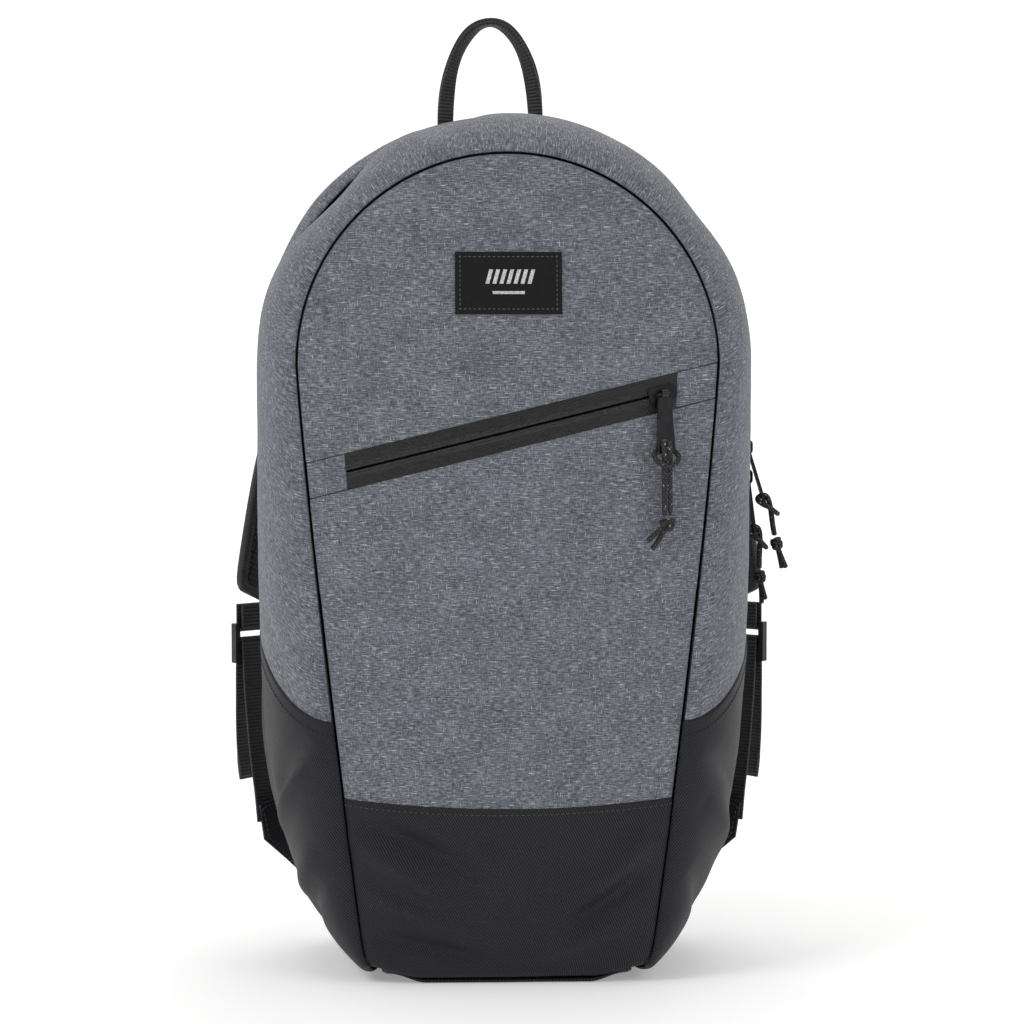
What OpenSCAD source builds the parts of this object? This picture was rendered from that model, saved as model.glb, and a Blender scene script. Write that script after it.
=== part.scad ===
// Daypack: a soft pack whose front and top open as one flap on a two-slider zip, with a slanted
// zipped pocket on the front, black lower panels, padded shoulder straps and a haul loop.
// Millimetres. +Z is up, the front faces -Y, and the origin is on the floor under the middle.

/* [Pack bag] */
// Height of the bag from the floor to the top of its arch
bag_h = 457; // [420:1:500]
// Width of the bag at the main zip, where it is widest
bag_w = 265; // [235:1:290]
// Width of the front face at its seam, level with the arch's centre
front_w = 219; // [190:1:232]
// Width of the back panel
back_w = 248; // [215:1:255]
// Depth from the back panel to the front seam
bag_d = 146; // [120:1:175]
// How far the front face swells in front of its seam
front_swell = 12; // [6:1:16]
// How far the front leans back at the top
top_lean = 22; // [0:1:30]
// How far the front tucks in at the foot
foot_tuck = 10; // [0:1:16]
// Thickness of a fabric wall with its lining
wall = 1.5; // [1.2:0.1:2]
// Gap left between two panels at a sewn seam
seam_gap = 0.3; // [0.3:0.1:0.6]

/* [Main zip] */
// Distance of the main zip from the back panel
zip_from_back = 46; // [38:1:60]
// Height of the zip's two lower ends, where the flap folds
flap_fold_z = 205; // [190:1:225]
// Width of the slit between the two gussets
slit_w = 9; // [7:0.5:11]
// Width of one half of the zip tape
tape_w = 15; // [12:1:18]
// Height of the upper slider's bail
slider_z = 276; // [268:1:300]

/* [Black panels] */
// Height of the black panel on the front
front_black_z = 95; // [80:1:110]
// Height of the side panels' seam at the front
side_black_front_z = 139; // [120:1:150]
// Height of the side panels' seam at the back
side_black_back_z = 184; // [165:1:200]
// How much of the side panels' rise lies near the front
side_black_curve = 2.2; // [1.2:0.1:2.6]

/* [Front pocket] */
// Height of the pocket zip's middle on the front face
pocket_z = 290; // [282:1:305]
// Slope of the pocket zip, in degrees
pocket_slope = 13.6; // [5:0.1:16]
// Width of the pocket zip band
pocket_band = 18; // [15:1:22]
// Length of zip that shows between the end tabs
pocket_zip_len = 178; // [150:1:182]
// Depth of the pocket bag below its zip
pocket_depth = 150; // [110:5:170]

/* [Label] */
// Width of the sewn label
label_w = 55; // [40:1:70]
// Height of the sewn label
label_h = 32; // [20:1:40]
// Height of the label's centre on the pack
label_z = 366; // [355:1:385]

/* [Slider pulls] */
// Length of a pull tab from its pin to its lower edge
tab_len = 31; // [26:1:36]
// Width of a pull tab at its lower edge
tab_w = 10; // [9:0.5:12]
// Diameter of the pull cord
cord_d = 2.7; // [2:0.1:3]

/* [Shoulder straps] */
// Thickness of a strap's foam
strap_foam_t = 8; // [6:0.5:12]
// Width of a strap over the shoulder
strap_w = 62; // [50:1:70]
// Width of the adjusting webbing
web_w = 25; // [20:1:25]
// Thickness of the webbing
web_t = 1.5; // [1.2:0.1:1.8]
// Height of the strap pads' lower ends
strap_end_z = 188; // [180:1:210]

/* [Haul loop] */
// Distance between the haul loop's legs
haul_w = 50; // [40:1:60]
// Height of the haul loop above the bag
haul_h = 53; // [40:1:62]

/* [Hidden] */

// Colours of the real pack
heather = [0.33, 0.34, 0.36];
black = [0.05, 0.05, 0.055];
coated = [0.03, 0.03, 0.03];
metal = [0.10, 0.10, 0.11];

// The bag's overall layout
zip_r = bag_w / 2;               // half width and arch radius at the main zip
front_r = front_w / 2;           // the same at the front seam
back_r = back_w / 2;             // the same at the back seam
arch_z = bag_h - zip_r;          // height of the arch's centre
strap_reach = 48;                // how far straps and webbing stand behind the back panel
whole_d = bag_d + front_swell + strap_reach;
back_y = whole_d / 2 - strap_reach;
zip_y = back_y - zip_from_back;
front_y = back_y - bag_d;
foam_t = 6;                      // back panel foam
cover_t = 1.2;                   // back panel cover and its lining

// Shape of the sides below the arch
square_x = 3.8;                  // how square the lower corners are, across
square_z = 4;                    // and upwards
floor_cut = 1.015;               // the outline is cut flat at the floor by this share
front_taper = 0.33;              // the front face narrows by this share down to the foot
taper_power = 1.15;
lean_from_z = 0.4 * bag_h;
tuck_below_z = 100;

// ---------- the bag's surface ----------
function drop(z) = (arch_z - z) / (arch_z * floor_cut);
function side_x(z) = pow(1 - pow(drop(z), square_z), 1 / square_x);
function front_x(z) = (1 - front_taper * pow(drop(z), taper_power))
    * pow(1 - pow(drop(z), 60), 1 / 3);
function above(z, from, to) = max(0, (z - from) / (to - from));
function front_seam_y(z) = front_y + top_lean * pow(above(z, lean_from_z, bag_h), 2)
    + foot_tuck * pow(max(0, 1 - z / tuck_below_z), 2);

// q runs round the outline: -1 right side at the floor, 0 right side at the arch's centre,
// 1 top, 2 left side at the arch's centre, 3 left side at the floor.
floor_sampling = 1.5;
function z_of(q) = arch_z * pow(max(0, 1 + q), floor_sampling);
function q_of(z) = pow(z / arch_z, 1 / floor_sampling) - 1;
// w runs from the back seam (0) over the main zip (1) to the front seam (2).
function toward_zip(w) = w < 1 ? sin(90 * w) : cos(90 * (w - 1));
function other_r(w) = w < 1 ? back_r : front_r;
function other_x(z, w) = w < 1 ? back_r * side_x(z) : front_r * front_x(z);
function depth_at(z, w) = w < 1 ? back_y + (zip_y - back_y) * w
    : zip_y + (front_seam_y(z) - zip_y) * sin(90 * (w - 1));
function w_front(distance) = 1 + asin(distance / (zip_y - front_y)) / 90;
function w_rear(distance) = 1 - distance / zip_from_back;
function right_point(q, w) = q < 0
    ? let(z = z_of(q), e = toward_zip(w))
        [e * zip_r * side_x(z) + (1 - e) * other_x(z, w), depth_at(z, w), z]
    : let(e = toward_zip(w), r = e * zip_r + (1 - e) * other_r(w), z = arch_z + r * sin(90 * q))
        [r * cos(90 * q), depth_at(z, w), z];
function mirrored(p) = [-p[0], p[1], p[2]];
function band_point(q, w) = q <= 1 ? right_point(q, w) : mirrored(right_point(2 - q, w));
function unit(v) = v / norm(v);
function band_normal(q, w) = let(d = 0.002, wc = min(max(w, d), 2 - d))
    unit(cross(band_point(min(q + d, 3), wc) - band_point(max(q - d, -1), wc),
               band_point(q, wc + d) - band_point(q, wc - d)));
function band_inside(q, w, t) = band_point(q, w) - t * band_normal(q, w);

// The front face: s runs from -1 at its left seam to 1 at its right seam.
function face_half(z) = z >= arch_z ? front_r : front_r * front_x(z);
function arch_top(s) = arch_z + front_r * sqrt(max(0, 1 - s * s));
function dome(s, z) = let(
    r = z > arch_z ? sqrt(s * s + pow((z - arch_z) / front_r, 2)) : abs(s),
    u = max(0, (arch_z - z) / arch_z)) (1 - pow(min(1, r), 2)) * (1 - pow(min(1, u), 8));
function face_point(s, z) = [s * face_half(z), front_seam_y(z) - front_swell * dome(s, z), z];
function face_normal(s, z) = let(d = 0.01, sc = min(max(s, d - 1), 1 - d))
    unit(cross(face_point(sc, z + 0.5) - face_point(sc, z - 0.5),
               face_point(sc - d, z) - face_point(sc + d, z)));
function face_inside(s, z, t) = face_point(s, z) - t * face_normal(s, z);

// ---------- solids from grids of points ----------
function flat(rows) = [for (r = rows) each r];
function two(a, b, c, d) = [[a, b, c], [a, c, d]];
function skin_faces(n, m) = let(o = n * m) concat(
    [for (i = [0 : n - 2], j = [0 : m - 2])
        each two(i * m + j, i * m + j + 1, (i + 1) * m + j + 1, (i + 1) * m + j)],
    [for (i = [0 : n - 2], j = [0 : m - 2])
        each two(o + i * m + j, o + (i + 1) * m + j, o + (i + 1) * m + j + 1, o + i * m + j + 1)],
    [for (j = [0 : m - 2]) each two(j + 1, j, o + j, o + j + 1)],
    [for (j = [0 : m - 2]) let(k = (n - 1) * m + j) each two(k, k + 1, o + k + 1, o + k)],
    [for (i = [0 : n - 2]) each two(i * m, (i + 1) * m, o + (i + 1) * m, o + i * m)],
    [for (i = [0 : n - 2]) let(k = i * m + m - 1) each two(k + m, k, o + k, o + k + m)]);

// A closed solid between an outer and an inner grid, each a list of rows of points.
module skin(outer, inner) {
    polyhedron(points = concat(flat(outer), flat(inner)),
        faces = skin_faces(len(outer), len(outer[0])), convexity = 6);
}

function steps(a, b, n) = [for (i = [0 : n]) a + (b - a) * i / n];

// A panel of the side band: the seams run from q0(w) to q1(w), and w over the list ws.
// out and t are how far its outer and inner faces lie inside the bag's surface.
module band(ws, q0s, q1s, n, out = 0, t = wall) {
    skin([for (i = [0 : len(ws) - 1])
            [for (q = steps(q0s[i], q1s[i], n)) band_inside(q, ws[i], out)]],
        [for (i = [0 : len(ws) - 1])
            [for (q = steps(q0s[i], q1s[i], n)) band_inside(q, ws[i], out + t)]]);
}

// A panel of the front face between heights low[i] and high[i] at each s in ss.
module face(ss, low, high, n, out = 0, t = wall) {
    skin([for (i = [0 : len(ss) - 1])
            [for (z = steps(low[i], high[i], n)) face_inside(ss[i], z, out)]],
        [for (i = [0 : len(ss) - 1])
            [for (z = steps(low[i], high[i], n)) face_inside(ss[i], z, out + t)]]);
}

module left_of(mirror_it) {
    if (mirror_it) mirror([1, 0, 0]) children();
    else children();
}

// ---------- side band panels ----------
arch_steps = 14;
slit_front = w_front(slit_w / 2);
slit_rear = w_rear(slit_w / 2);
seam_w = seam_gap / 100;
tape_front = w_front(tape_w);    // the edges of the main zip's tapes
tape_rear = w_rear(tape_w);
front_ws = [slit_front, tape_front, 1.3, 1.6, 1.82, 2 - seam_w];
rear_ws = [0.02, 0.35, tape_rear, slit_rear];
// The black side panel's sewn edge rises from the front to the back.
function black_z(w) = let(f = (w < 1 ? w * zip_from_back : zip_from_back
        + (bag_d - zip_from_back) * sin(90 * (w - 1))) / bag_d)
    side_black_back_z + (side_black_front_z - side_black_back_z)
            * pow(f, side_black_curve);
fold_q = q_of(flap_fold_z + seam_gap / 2);
under_fold_q = q_of(flap_fold_z - seam_gap / 2);
function black_q(w) = q_of(black_z(w) + seam_gap / 2);
function under_black_q(w) = q_of(black_z(w) - seam_gap / 2);
floor_lift = 2;                  // the side panels stop this far above the floor
floor_q = q_of(floor_lift);

module gusset_front() {
    color(heather)
        skin([for (w = front_ws) [for (q = arch_walk(fold_q)) band_inside(q, w, 0)]],
            [for (w = front_ws) [for (q = arch_walk(fold_q)) band_inside(q, w, wall)]]);
}

// Steps from the right fold over the arch to the left fold: few on the sides, more on the arch.
side_steps = 4;
function arch_walk(q) = concat(steps(q, 0, side_steps),
    [for (i = [1 : 2 * arch_steps - 1]) i / arch_steps],
    [for (x = steps(0, q, side_steps)) 2 - x]);

module gusset_rear() {
    lows = [for (w = rear_ws) black_q(w)];
    color(heather)
        skin([for (i = [0 : 3]) [for (q = arch_walk(lows[i])) band_inside(q, rear_ws[i], 0)]],
            [for (i = [0 : 3]) [for (q = arch_walk(lows[i])) band_inside(q, rear_ws[i], wall)]]);
}

module gusset_lower(is_left) {
    ws = concat([slit_rear + 2 * seam_w, 1], [for (i = [1 : len(front_ws) - 1]) front_ws[i]]);
    color(heather) left_of(is_left)
        band(ws, [for (w = ws) black_q(w)], [for (w = ws) under_fold_q], 3);
}

module side_black(is_left) {
    ws = [0.02, 0.35, 1, 1.3, 1.6, 1.82, 2 - seam_w];
    color(black) left_of(is_left)
        band(ws, [for (w = ws) floor_q], [for (w = ws) under_black_q(w)], 8);
}

module base_panel() {
    rows = [0, 0.5, 1, 1.3, 1.6, 1.82, 2];
    right = [for (w = rows) let(p = band_point(floor_q, w)) [p[0] - seam_gap, p[1]]];
    outline = concat(right, [for (i = [len(right) - 1 : -1 : 0]) [-right[i][0], right[i][1]]]);
    color(black) linear_extrude(floor_lift - seam_gap) polygon(outline);
}

// ---------- front face panels ----------
function columns(n) = [for (i = [0 : n]) sin(-90 + 180 * i / n) * (1 - seam_w)];
face_cols = columns(16);
// The pocket zip band crosses the face on a slope; these are its edges' heights at s.
function pocket_line(s, off) = let(x = s * front_r * 0.985)
    pocket_z + x * tan(pocket_slope) + off / cos(pocket_slope);
band_top = pocket_band / 2;
function black_edge(s) = front_black_z + 4 * s * s;

module front_panel_upper() {
    ss = [for (s = face_cols) s * 0.998];
    color(heather) face(ss, [for (s = ss) pocket_line(s, band_top + seam_gap / 2)],
        [for (s = ss) arch_top(s) - seam_gap], 7);
}

module front_panel_middle() {
    color(heather) face(face_cols, [for (s = face_cols) flap_fold_z + seam_gap / 2],
        [for (s = face_cols) pocket_line(s, -band_top - seam_gap / 2)], 3);
}

module front_panel_lower() {
    color(heather) face(face_cols, [for (s = face_cols) black_edge(s) + seam_gap / 2],
        [for (s = face_cols) flap_fold_z - seam_gap / 2], 4);
}

module front_black_panel() {
    color(black) face(face_cols, [for (s = face_cols) floor_lift],
        [for (s = face_cols) black_edge(s) - seam_gap / 2], 6);
}

// ---------- inner seams ----------
binding_t = 1;
binding_w = 9;

// Tape bound over the seam allowance inside the front seam, on the flap.
module seam_binding_front() {
    top = wall + 0.4;
    skin([for (w = [1.62, 1.8]) [for (q = arch_walk(fold_q)) band_inside(q, w, top)]],
        [for (w = [1.62, 1.8]) [for (q = arch_walk(fold_q)) band_inside(q, w, top + binding_t)]]);
}

// Tape bound over the seam allowance inside the back seam.
module seam_binding_back() {
    ws = [0.25, 0.25 + binding_w / zip_from_back];
    top = wall + 0.4;
    skin([for (w = ws) [for (q = arch_walk(q_of(30))) band_inside(q, w, top)]],
        [for (w = ws) [for (q = arch_walk(q_of(30))) band_inside(q, w, top + binding_t)]]);
}

// ---------- back panel ----------
function back_outline(inset) = let(right = concat(
        [for (z = [floor_lift, 8, 18, 34, 60, 110, 190, 260]) [back_r * side_x(z) - inset, z]],
        [for (a = steps(0, 90, 10)) (back_r - inset) * [cos(a), sin(a)] + [0, arch_z]]))
    concat(right, [for (i = [len(right) - 2 : -1 : 0]) [-right[i][0], right[i][1]]]);

module back_layer(from, t, inset) {
    translate([0, back_y - from, 0]) rotate([90, 0, 0])
        linear_extrude(t) polygon(back_outline(inset));
}

module back_panel_cover() { color(black) back_layer(-cover_t, cover_t, 0); }
module back_panel_foam() { color("dimgray") back_layer(seam_gap, foam_t, wall + 3); }
module back_panel_lining() { color("gray") back_layer(2 * seam_gap + foam_t, cover_t / 2, wall + 4); }

// ---------- main zip ----------
tape_in = wall + 0.25;           // the tape lies this far inside the gussets' outer face
tape_t = 0.8;
coil_w = 2.6;
coil_t = 1.8;
coil_in = 0.1;                   // gap between a tape and its coil
zip_play = 0.8;                  // gap between the zip's two halves

module zip_half(ws, in, t, low_q) {
    skin([for (w = ws) [for (q = arch_walk(low_q)) band_inside(q, w, in)]],
        [for (w = ws) [for (q = arch_walk(low_q)) band_inside(q, w, in + t)]]);
}

module main_zip_tape_front() {
    color(coated) zip_half([w_front(zip_play / 2), w_front(coil_w), tape_front], tape_in, tape_t,
        fold_q);
}
module main_zip_coil_front() {
    color(black) zip_half([w_front(zip_play / 2), w_front(coil_w)], tape_in + tape_t + coil_in,
        coil_t, fold_q);
}
module main_zip_tape_rear() {
    color(coated) zip_half([tape_rear, w_rear(coil_w), w_rear(zip_play / 2)], tape_in, tape_t,
        fold_q);
}
module main_zip_coil_rear() {
    color(black) zip_half([w_rear(coil_w), w_rear(zip_play / 2)], tape_in + tape_t + coil_in,
        coil_t, fold_q);
}

// ---------- front pocket ----------
zip_half_len = pocket_zip_len / 2;
pocket_right_s = zip_half_len * cos(pocket_slope) / (front_r * 0.985);
pocket_left_s = -zip_half_len * cos(pocket_slope) / (front_r * 0.985);
pocket_in = 0.7;                 // the zip tape lies a little inside the face
coil_band = 5;

module pocket_strip(s0, s1, from, to, in, t, n = 10) {
    ss = steps(s0, s1, n);
    face(ss, [for (s = ss) pocket_line(s, from)], [for (s = ss) pocket_line(s, to)], 1, in, t);
}

module pocket_zip_tape_upper() {
    color(coated) pocket_strip(pocket_left_s, pocket_right_s, zip_play / 2,
        band_top - seam_gap / 2, pocket_in, tape_t);
}
module pocket_zip_tape_lower() {
    color(coated) pocket_strip(pocket_left_s, pocket_right_s, -band_top + seam_gap / 2,
        -zip_play / 2, pocket_in, tape_t);
}
module pocket_zip_coil(is_upper) {
    edges = is_upper ? [zip_play / 2, coil_band / 2] : [-coil_band / 2, -zip_play / 2];
    color(black) pocket_strip(pocket_left_s, pocket_right_s, edges[0], edges[1],
        pocket_in + tape_t + coil_in, coil_t);
}
module pocket_end_tab_left() {
    color(heather) pocket_strip(-1 + seam_w, pocket_left_s - 0.004, -band_top + seam_gap / 2,
        band_top - seam_gap / 2, 0.2, wall, 2);
}
module pocket_end_tab_right() {
    color(heather) pocket_strip(pocket_right_s + 0.004, 1 - seam_w, -band_top + seam_gap / 2,
        band_top - seam_gap / 2, 0.2, wall, 2);
}

// The pocket's inner bag: a flat pouch that hangs from the zip behind the front face.
bag_in = 6;
bag_t = 2;
module pocket_bag() {
    ss = steps(-0.9, 0.9, 8);
    color("gray") face(ss, [for (s = ss) pocket_z - pocket_depth],
        [for (s = ss) pocket_line(s, -coil_band / 2 - 1)], 4, bag_in, bag_t);
}

// ---------- label ----------
label_t = 0.9;
label_off = 0.3;                 // gap between the face and the label's back
module label_patch() {
    ss = steps(-label_w / 2 / front_r, label_w / 2 / front_r, 6);
    color(black) face(ss, [for (s = ss) label_z - label_h / 2],
        [for (s = ss) label_z + label_h / 2], 2, -label_off - label_t, label_t);
}

// ---------- zip slider: x along the zip towards its head, y across, z outwards ----------
slider_l = 15;
slider_w = slit_w - 1;
plate_t = 1.3;
slider_post_x = 5;
bail_z = 5.2;                    // height of the bail bar's centre over the tape
bail_r = 0.8;
bail_foot = 5.2;                 // the bail's feet stand this far from its middle
bail_top = 2.6;                  // and its bar reaches this far each way
slider_above = 0.45;             // the upper plate clears the tape by this
slider_below = 3.3;              // the lower plate's inner face lies this far under the tape

module slider_plate() {
    hull() for (side = [-1, 1]) {
        translate([2 - slider_l / 2, side * (slider_w / 2 - 2), 0]) cylinder(r = 2, h = plate_t, $fn = 24);
        translate([slider_l / 2 - 3, side * (slider_w / 2 - 3), 0]) cylinder(r = 3, h = plate_t, $fn = 24);
    }
}

module slider() {
    foot_z = slider_above + plate_t / 2;
    color(metal) union() {
        translate([0, 0, slider_above]) slider_plate();
        translate([0, 0, -slider_below - plate_t]) slider_plate();
        // the post that parts the two halves at the head
        translate([slider_post_x, 0, -slider_below - plate_t / 2]) cylinder(r = zip_play / 2 - 0.15,
            h = slider_below + slider_above + plate_t, $fn = 24);
        // the bail that holds the pull tab
        tube([[-bail_foot, 0, foot_z], [-bail_top - 0.7, 0, bail_z - 1.1], [-bail_top, 0, bail_z - 0.25],
            [0.7 - bail_top, 0, bail_z], [bail_top - 0.7, 0, bail_z], [bail_top, 0, bail_z - 0.25],
            [bail_top + 0.7, 0, bail_z - 1.1], [bail_foot, 0, foot_z]], bail_r);
    }
}

// ---------- pull tab: hangs along -z from its pin at the origin, face towards -y ----------
tab_t = 1.4;
pin_r = 0.7;
eye_w = 7;
hole_r = 3.1;                    // the cord's hole near the tab's foot
hole_z = -tab_len + hole_r + 1.3;

module tab_plate(top_z) {
    rotate([90, 0, 0]) translate([0, 0, -tab_t / 2]) linear_extrude(tab_t) difference() {
        polygon([[-eye_w / 2, top_z], [eye_w / 2, top_z], [tab_w / 2, -tab_len + 1.5],
            [tab_w / 2 - 1.5, -tab_len], [-tab_w / 2 + 1.5, -tab_len], [-tab_w / 2, -tab_len + 1.5]]);
        translate([0, hole_z]) circle(r = hole_r, $fn = 32);
    }
}

// With a pin across its head, that the slider's bail passes over.
module crossbar_tab() {
    window_h = 6;
    color(metal) union() {
        difference() {
            tab_plate(0);
            translate([-eye_w / 2 + 1.3, -tab_t, -window_h]) cube([eye_w - 2.6, 2 * tab_t, window_h + 1]);
        }
        translate([-eye_w / 2, 0, 0]) rotate([0, 90, 0]) cylinder(r = pin_r, h = eye_w, $fn = 24);
    }
}

// With a loose knuckle round the slider's bail bar, so that it hangs plumb on the sloping zip.
knuckle_play = 0.65;
module knuckle_tab() {
    knuckle_l = 3.4;
    knuckle_r = bail_r + knuckle_play + 0.9;
    color(metal) difference() {
        union() {
            tab_plate(-knuckle_r + 0.4);
            translate([-knuckle_l / 2, 0, 0]) rotate([0, 90, 0])
                cylinder(r = knuckle_r, h = knuckle_l, $fn = 32);
        }
        translate([-knuckle_l, 0, 0]) rotate([0, 90, 0])
            cylinder(r = bail_r + knuckle_play, h = 2 * knuckle_l, $fn = 32);
    }
}

// ---------- pull cord: a loop hitched through the tab's hole, its two strands knotted below ----------
// The route starts where the loop crosses in front of the strands, in cord diameters from the
// hole's centre: x across the tab, y towards the viewer, z up. The other half is its mirror image.
hitch_route = [[0, 1.95, -4.1], [1.1, 1.75, -3.9], [2, 1.2, -3.1], [2.35, 0.4, -2.1],
    [1.9, -0.6, -1.2], [1.15, -1.05, -0.4], [0.56, -0.8, 0.2], [0.56, 0, 0.35], [0.56, 0.75, 0.05],
    [0.56, 0.98, -0.9], [0.56, 0.95, -2], [0.56, 0.8, -3.2], [0.56, 0.55, -4.7]];
strand_long = 13.2;              // where the strands reach the knot, in cord diameters
strand_short = 7.9;
knot_r = 1.8;                    // the knot's radius, in cord diameters
cord_sides = 8;

function spline(p, i, t) = let(n = len(p), a = p[max(i - 1, 0)], b = p[i], c = p[min(i + 1, n - 1)],
    d = p[min(i + 2, n - 1)]) 0.5 * (2 * b + (c - a) * t + (2 * a - 5 * b + 4 * c - d) * t * t
    + (3 * b - a - 3 * c + d) * t * t * t);
function smooth_path(p, per) = concat([for (i = [0 : len(p) - 2], k = [0 : per - 1])
    spline(p, i, k / per)], [p[len(p) - 1]]);
function path_tangent(p, i) = unit(p[min(i + 1, len(p) - 1)] - p[max(i - 1, 0)]);
// Each ring's first direction is the last one's, kept square to the path.
function ring_dirs(p, i = 0, last = [0, 1, 0.03], out = []) = i == len(p) ? out
    : let(t = path_tangent(p, i), d = unit(last - (last * t) * t))
        ring_dirs(p, i + 1, d, concat(out, [d]));

module tube(path, r) {
    n = len(path);
    dirs = ring_dirs(path);
    points = [for (i = [0 : n - 1]) let(t = path_tangent(path, i), u = dirs[i], v = cross(t, u))
        for (k = [0 : cord_sides - 1]) path[i] + r * (cos(360 * k / cord_sides) * u
            + sin(360 * k / cord_sides) * v)];
    sides = [for (i = [0 : n - 2], k = [0 : cord_sides - 1]) let(l = (k + 1) % cord_sides)
        each two(i * cord_sides + k, (i + 1) * cord_sides + k, (i + 1) * cord_sides + l,
            i * cord_sides + l)];
    ends = [[for (k = [0 : cord_sides - 1]) k],
        [for (k = [cord_sides - 1 : -1 : 0]) (n - 1) * cord_sides + k]];
    polyhedron(points = points, faces = concat(sides, ends), convexity = 8);
}

function in_tab(p) = [p[0] * cord_d, -p[1] * cord_d, p[2] * cord_d + hole_z];
module pull_cord(strand) {
    route = concat(hitch_route, [[0.56, 0.3, -(4.7 + strand) / 2], [0.56, 0.1, -strand]]);
    half = smooth_path([for (p = route) in_tab(p)], 2);
    color(black) tube(concat([for (i = [len(half) - 1 : -1 : 1]) mirrored(half[i])], half), cord_d / 2);
}

// The overhand knot and its two short tails, as one plain lump with two stubs.
module pull_knot(strand, tail_turn) {
    color(black) translate([0, 0, -(strand + knot_r + 0.1) * cord_d + hole_z]) union() {
        sphere(r = knot_r * cord_d, $fn = 24);
        for (side = [-1, 1]) rotate([0, 180 + tail_turn + side * 14, 0])
            cylinder(r = cord_d / 2, h = 5.6 * cord_d, $fn = 24);
    }
}

// ---------- places of the three sliders ----------
slider_s = 79 / (front_r * 0.985);
function zip_path(s) = face_inside(s, pocket_line(s, 0), pocket_in);
pocket_along = unit(zip_path(slider_s + 0.01) - zip_path(slider_s - 0.01));
pocket_out = let(n = face_normal(slider_s, pocket_line(slider_s, 0)))
    unit(n - (n * pocket_along) * pocket_along);
pocket_at = zip_path(slider_s);
pocket_up = cross(pocket_out, pocket_along);
module at_pocket_slider() {
    a = pocket_along;
    u = pocket_up;
    n = pocket_out;
    p = pocket_at;
    multmatrix([[a[0], u[0], n[0], p[0]], [a[1], u[1], n[1], p[1]], [a[2], u[2], n[2], p[2]]])
        children();
}
// The pocket tab hangs plumb from the bail bar, leaning on the face.
pocket_tab_lean = 6;
module at_pocket_tab() {
    translate(pocket_at + bail_z * pocket_out) rotate([0, 0, atan2(pocket_along[1], pocket_along[0])])
        rotate([-pocket_tab_lean, 0, 0]) children();
}
slider_pitch = 16.2;
tape_x = zip_r - tape_in;
// Main sliders stand on the right side, head to head, with their bails outwards.
module at_main_slider(z, head_up) {
    translate([tape_x, zip_y, z]) rotate([0, 0, 90]) rotate([90, 0, 0])
        rotate([0, 0, head_up ? 90 : -90]) children();
}
main_pin_out = bail_z - bail_r - pin_r - 0.1;
main_pin_drop = 1.8;             // the pin lies in the lower corner of the bail
upper_swing = 17;                // the upper tab rests on the lower bail
lower_swing = 7;
module at_main_tab(z, swing) {
    translate([tape_x + main_pin_out, zip_y, z - main_pin_drop]) rotate([0, -swing, 0])
        rotate([0, 0, 90]) children();
}

// ---------- straps ----------
function bezier(p, t) = pow(1 - t, 3) * p[0] + 3 * pow(1 - t, 2) * t * p[1]
    + 3 * (1 - t) * t * t * p[2] + pow(t, 3) * p[3];
strap_end = [bag_w / 2 + 0.5, back_y + 4, strap_end_z];
strap_path = [[38, back_y + 9, arch_z + 99], [40, back_y + 50, arch_z + 74],
    [106, back_y + 38, strap_end_z + 95], strap_end];
strap_twist = 40;                // the pads' ends turn round the bag's corners by this
strap_rows = 14;
function smooth(x) = let(c = min(1, max(0, x))) c * c * (3 - 2 * c);
function strap_half(t) = strap_w / 2 * (t < 0.72 ? 1 : 1 - 0.5 * pow((t - 0.72) / 0.28, 1.4));
function strap_point(t, side, lift) = let(
    c = bezier(strap_path, t), d = 0.01, turn = strap_twist * smooth((t - 0.5) / 0.45),
    f = unit(bezier(strap_path, min(1, t + d)) - bezier(strap_path, max(0, t - d))),
    flat_across = unit([-f[2], 0, f[0]]), turned = cos(turn) * flat_across - sin(turn) * [0, 1, 0],
    across = unit(turned - (turned * f) * f), up = cross(across, f))
    c + side * strap_half(t) * across + lift * up;

// One layer of the strap from lift a to lift b, measured towards the wearer's back.
module strap_layer(a, b, inset) {
    ts = steps(inset / 20, 1 - inset / 20, strap_rows);
    ss = [for (k = [-1, -0.4, 0.4, 1]) k * (1 - inset)];
    skin([for (t = ts) [for (s = ss) strap_point(t, s, b)]],
        [for (t = ts) [for (s = ss) strap_point(t, s, a)]]);
}
skin_t = 0.8;
layer_gap = 0.3;
module strap_foam() { color("dimgray") strap_layer(0, strap_foam_t, 0.06); }
module strap_cover() {
    color(black) strap_layer(strap_foam_t + layer_gap, strap_foam_t + layer_gap + skin_t, 0);
}
module strap_mesh() { color(black) strap_layer(-layer_gap - skin_t, -layer_gap, 0); }

// The yoke: a doubled patch at the top of the back panel that takes the straps and the haul loop.
yoke_t = 3;
yoke_y = back_y + cover_t + seam_gap;
module yoke() {
    color(black) translate([0, yoke_y + yoke_t, arch_z + 92]) rotate([90, 0, 0])
        linear_extrude(yoke_t) polygon([[-70, 0], [70, 0], [62, 14], [-62, 14]]);
}

// What hangs below a strap's end is drawn with z = 0 at that end and y away from the bag.
module at_strap_end() { translate(strap_end) rotate([0, 0, -strap_twist]) children(); }

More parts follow.
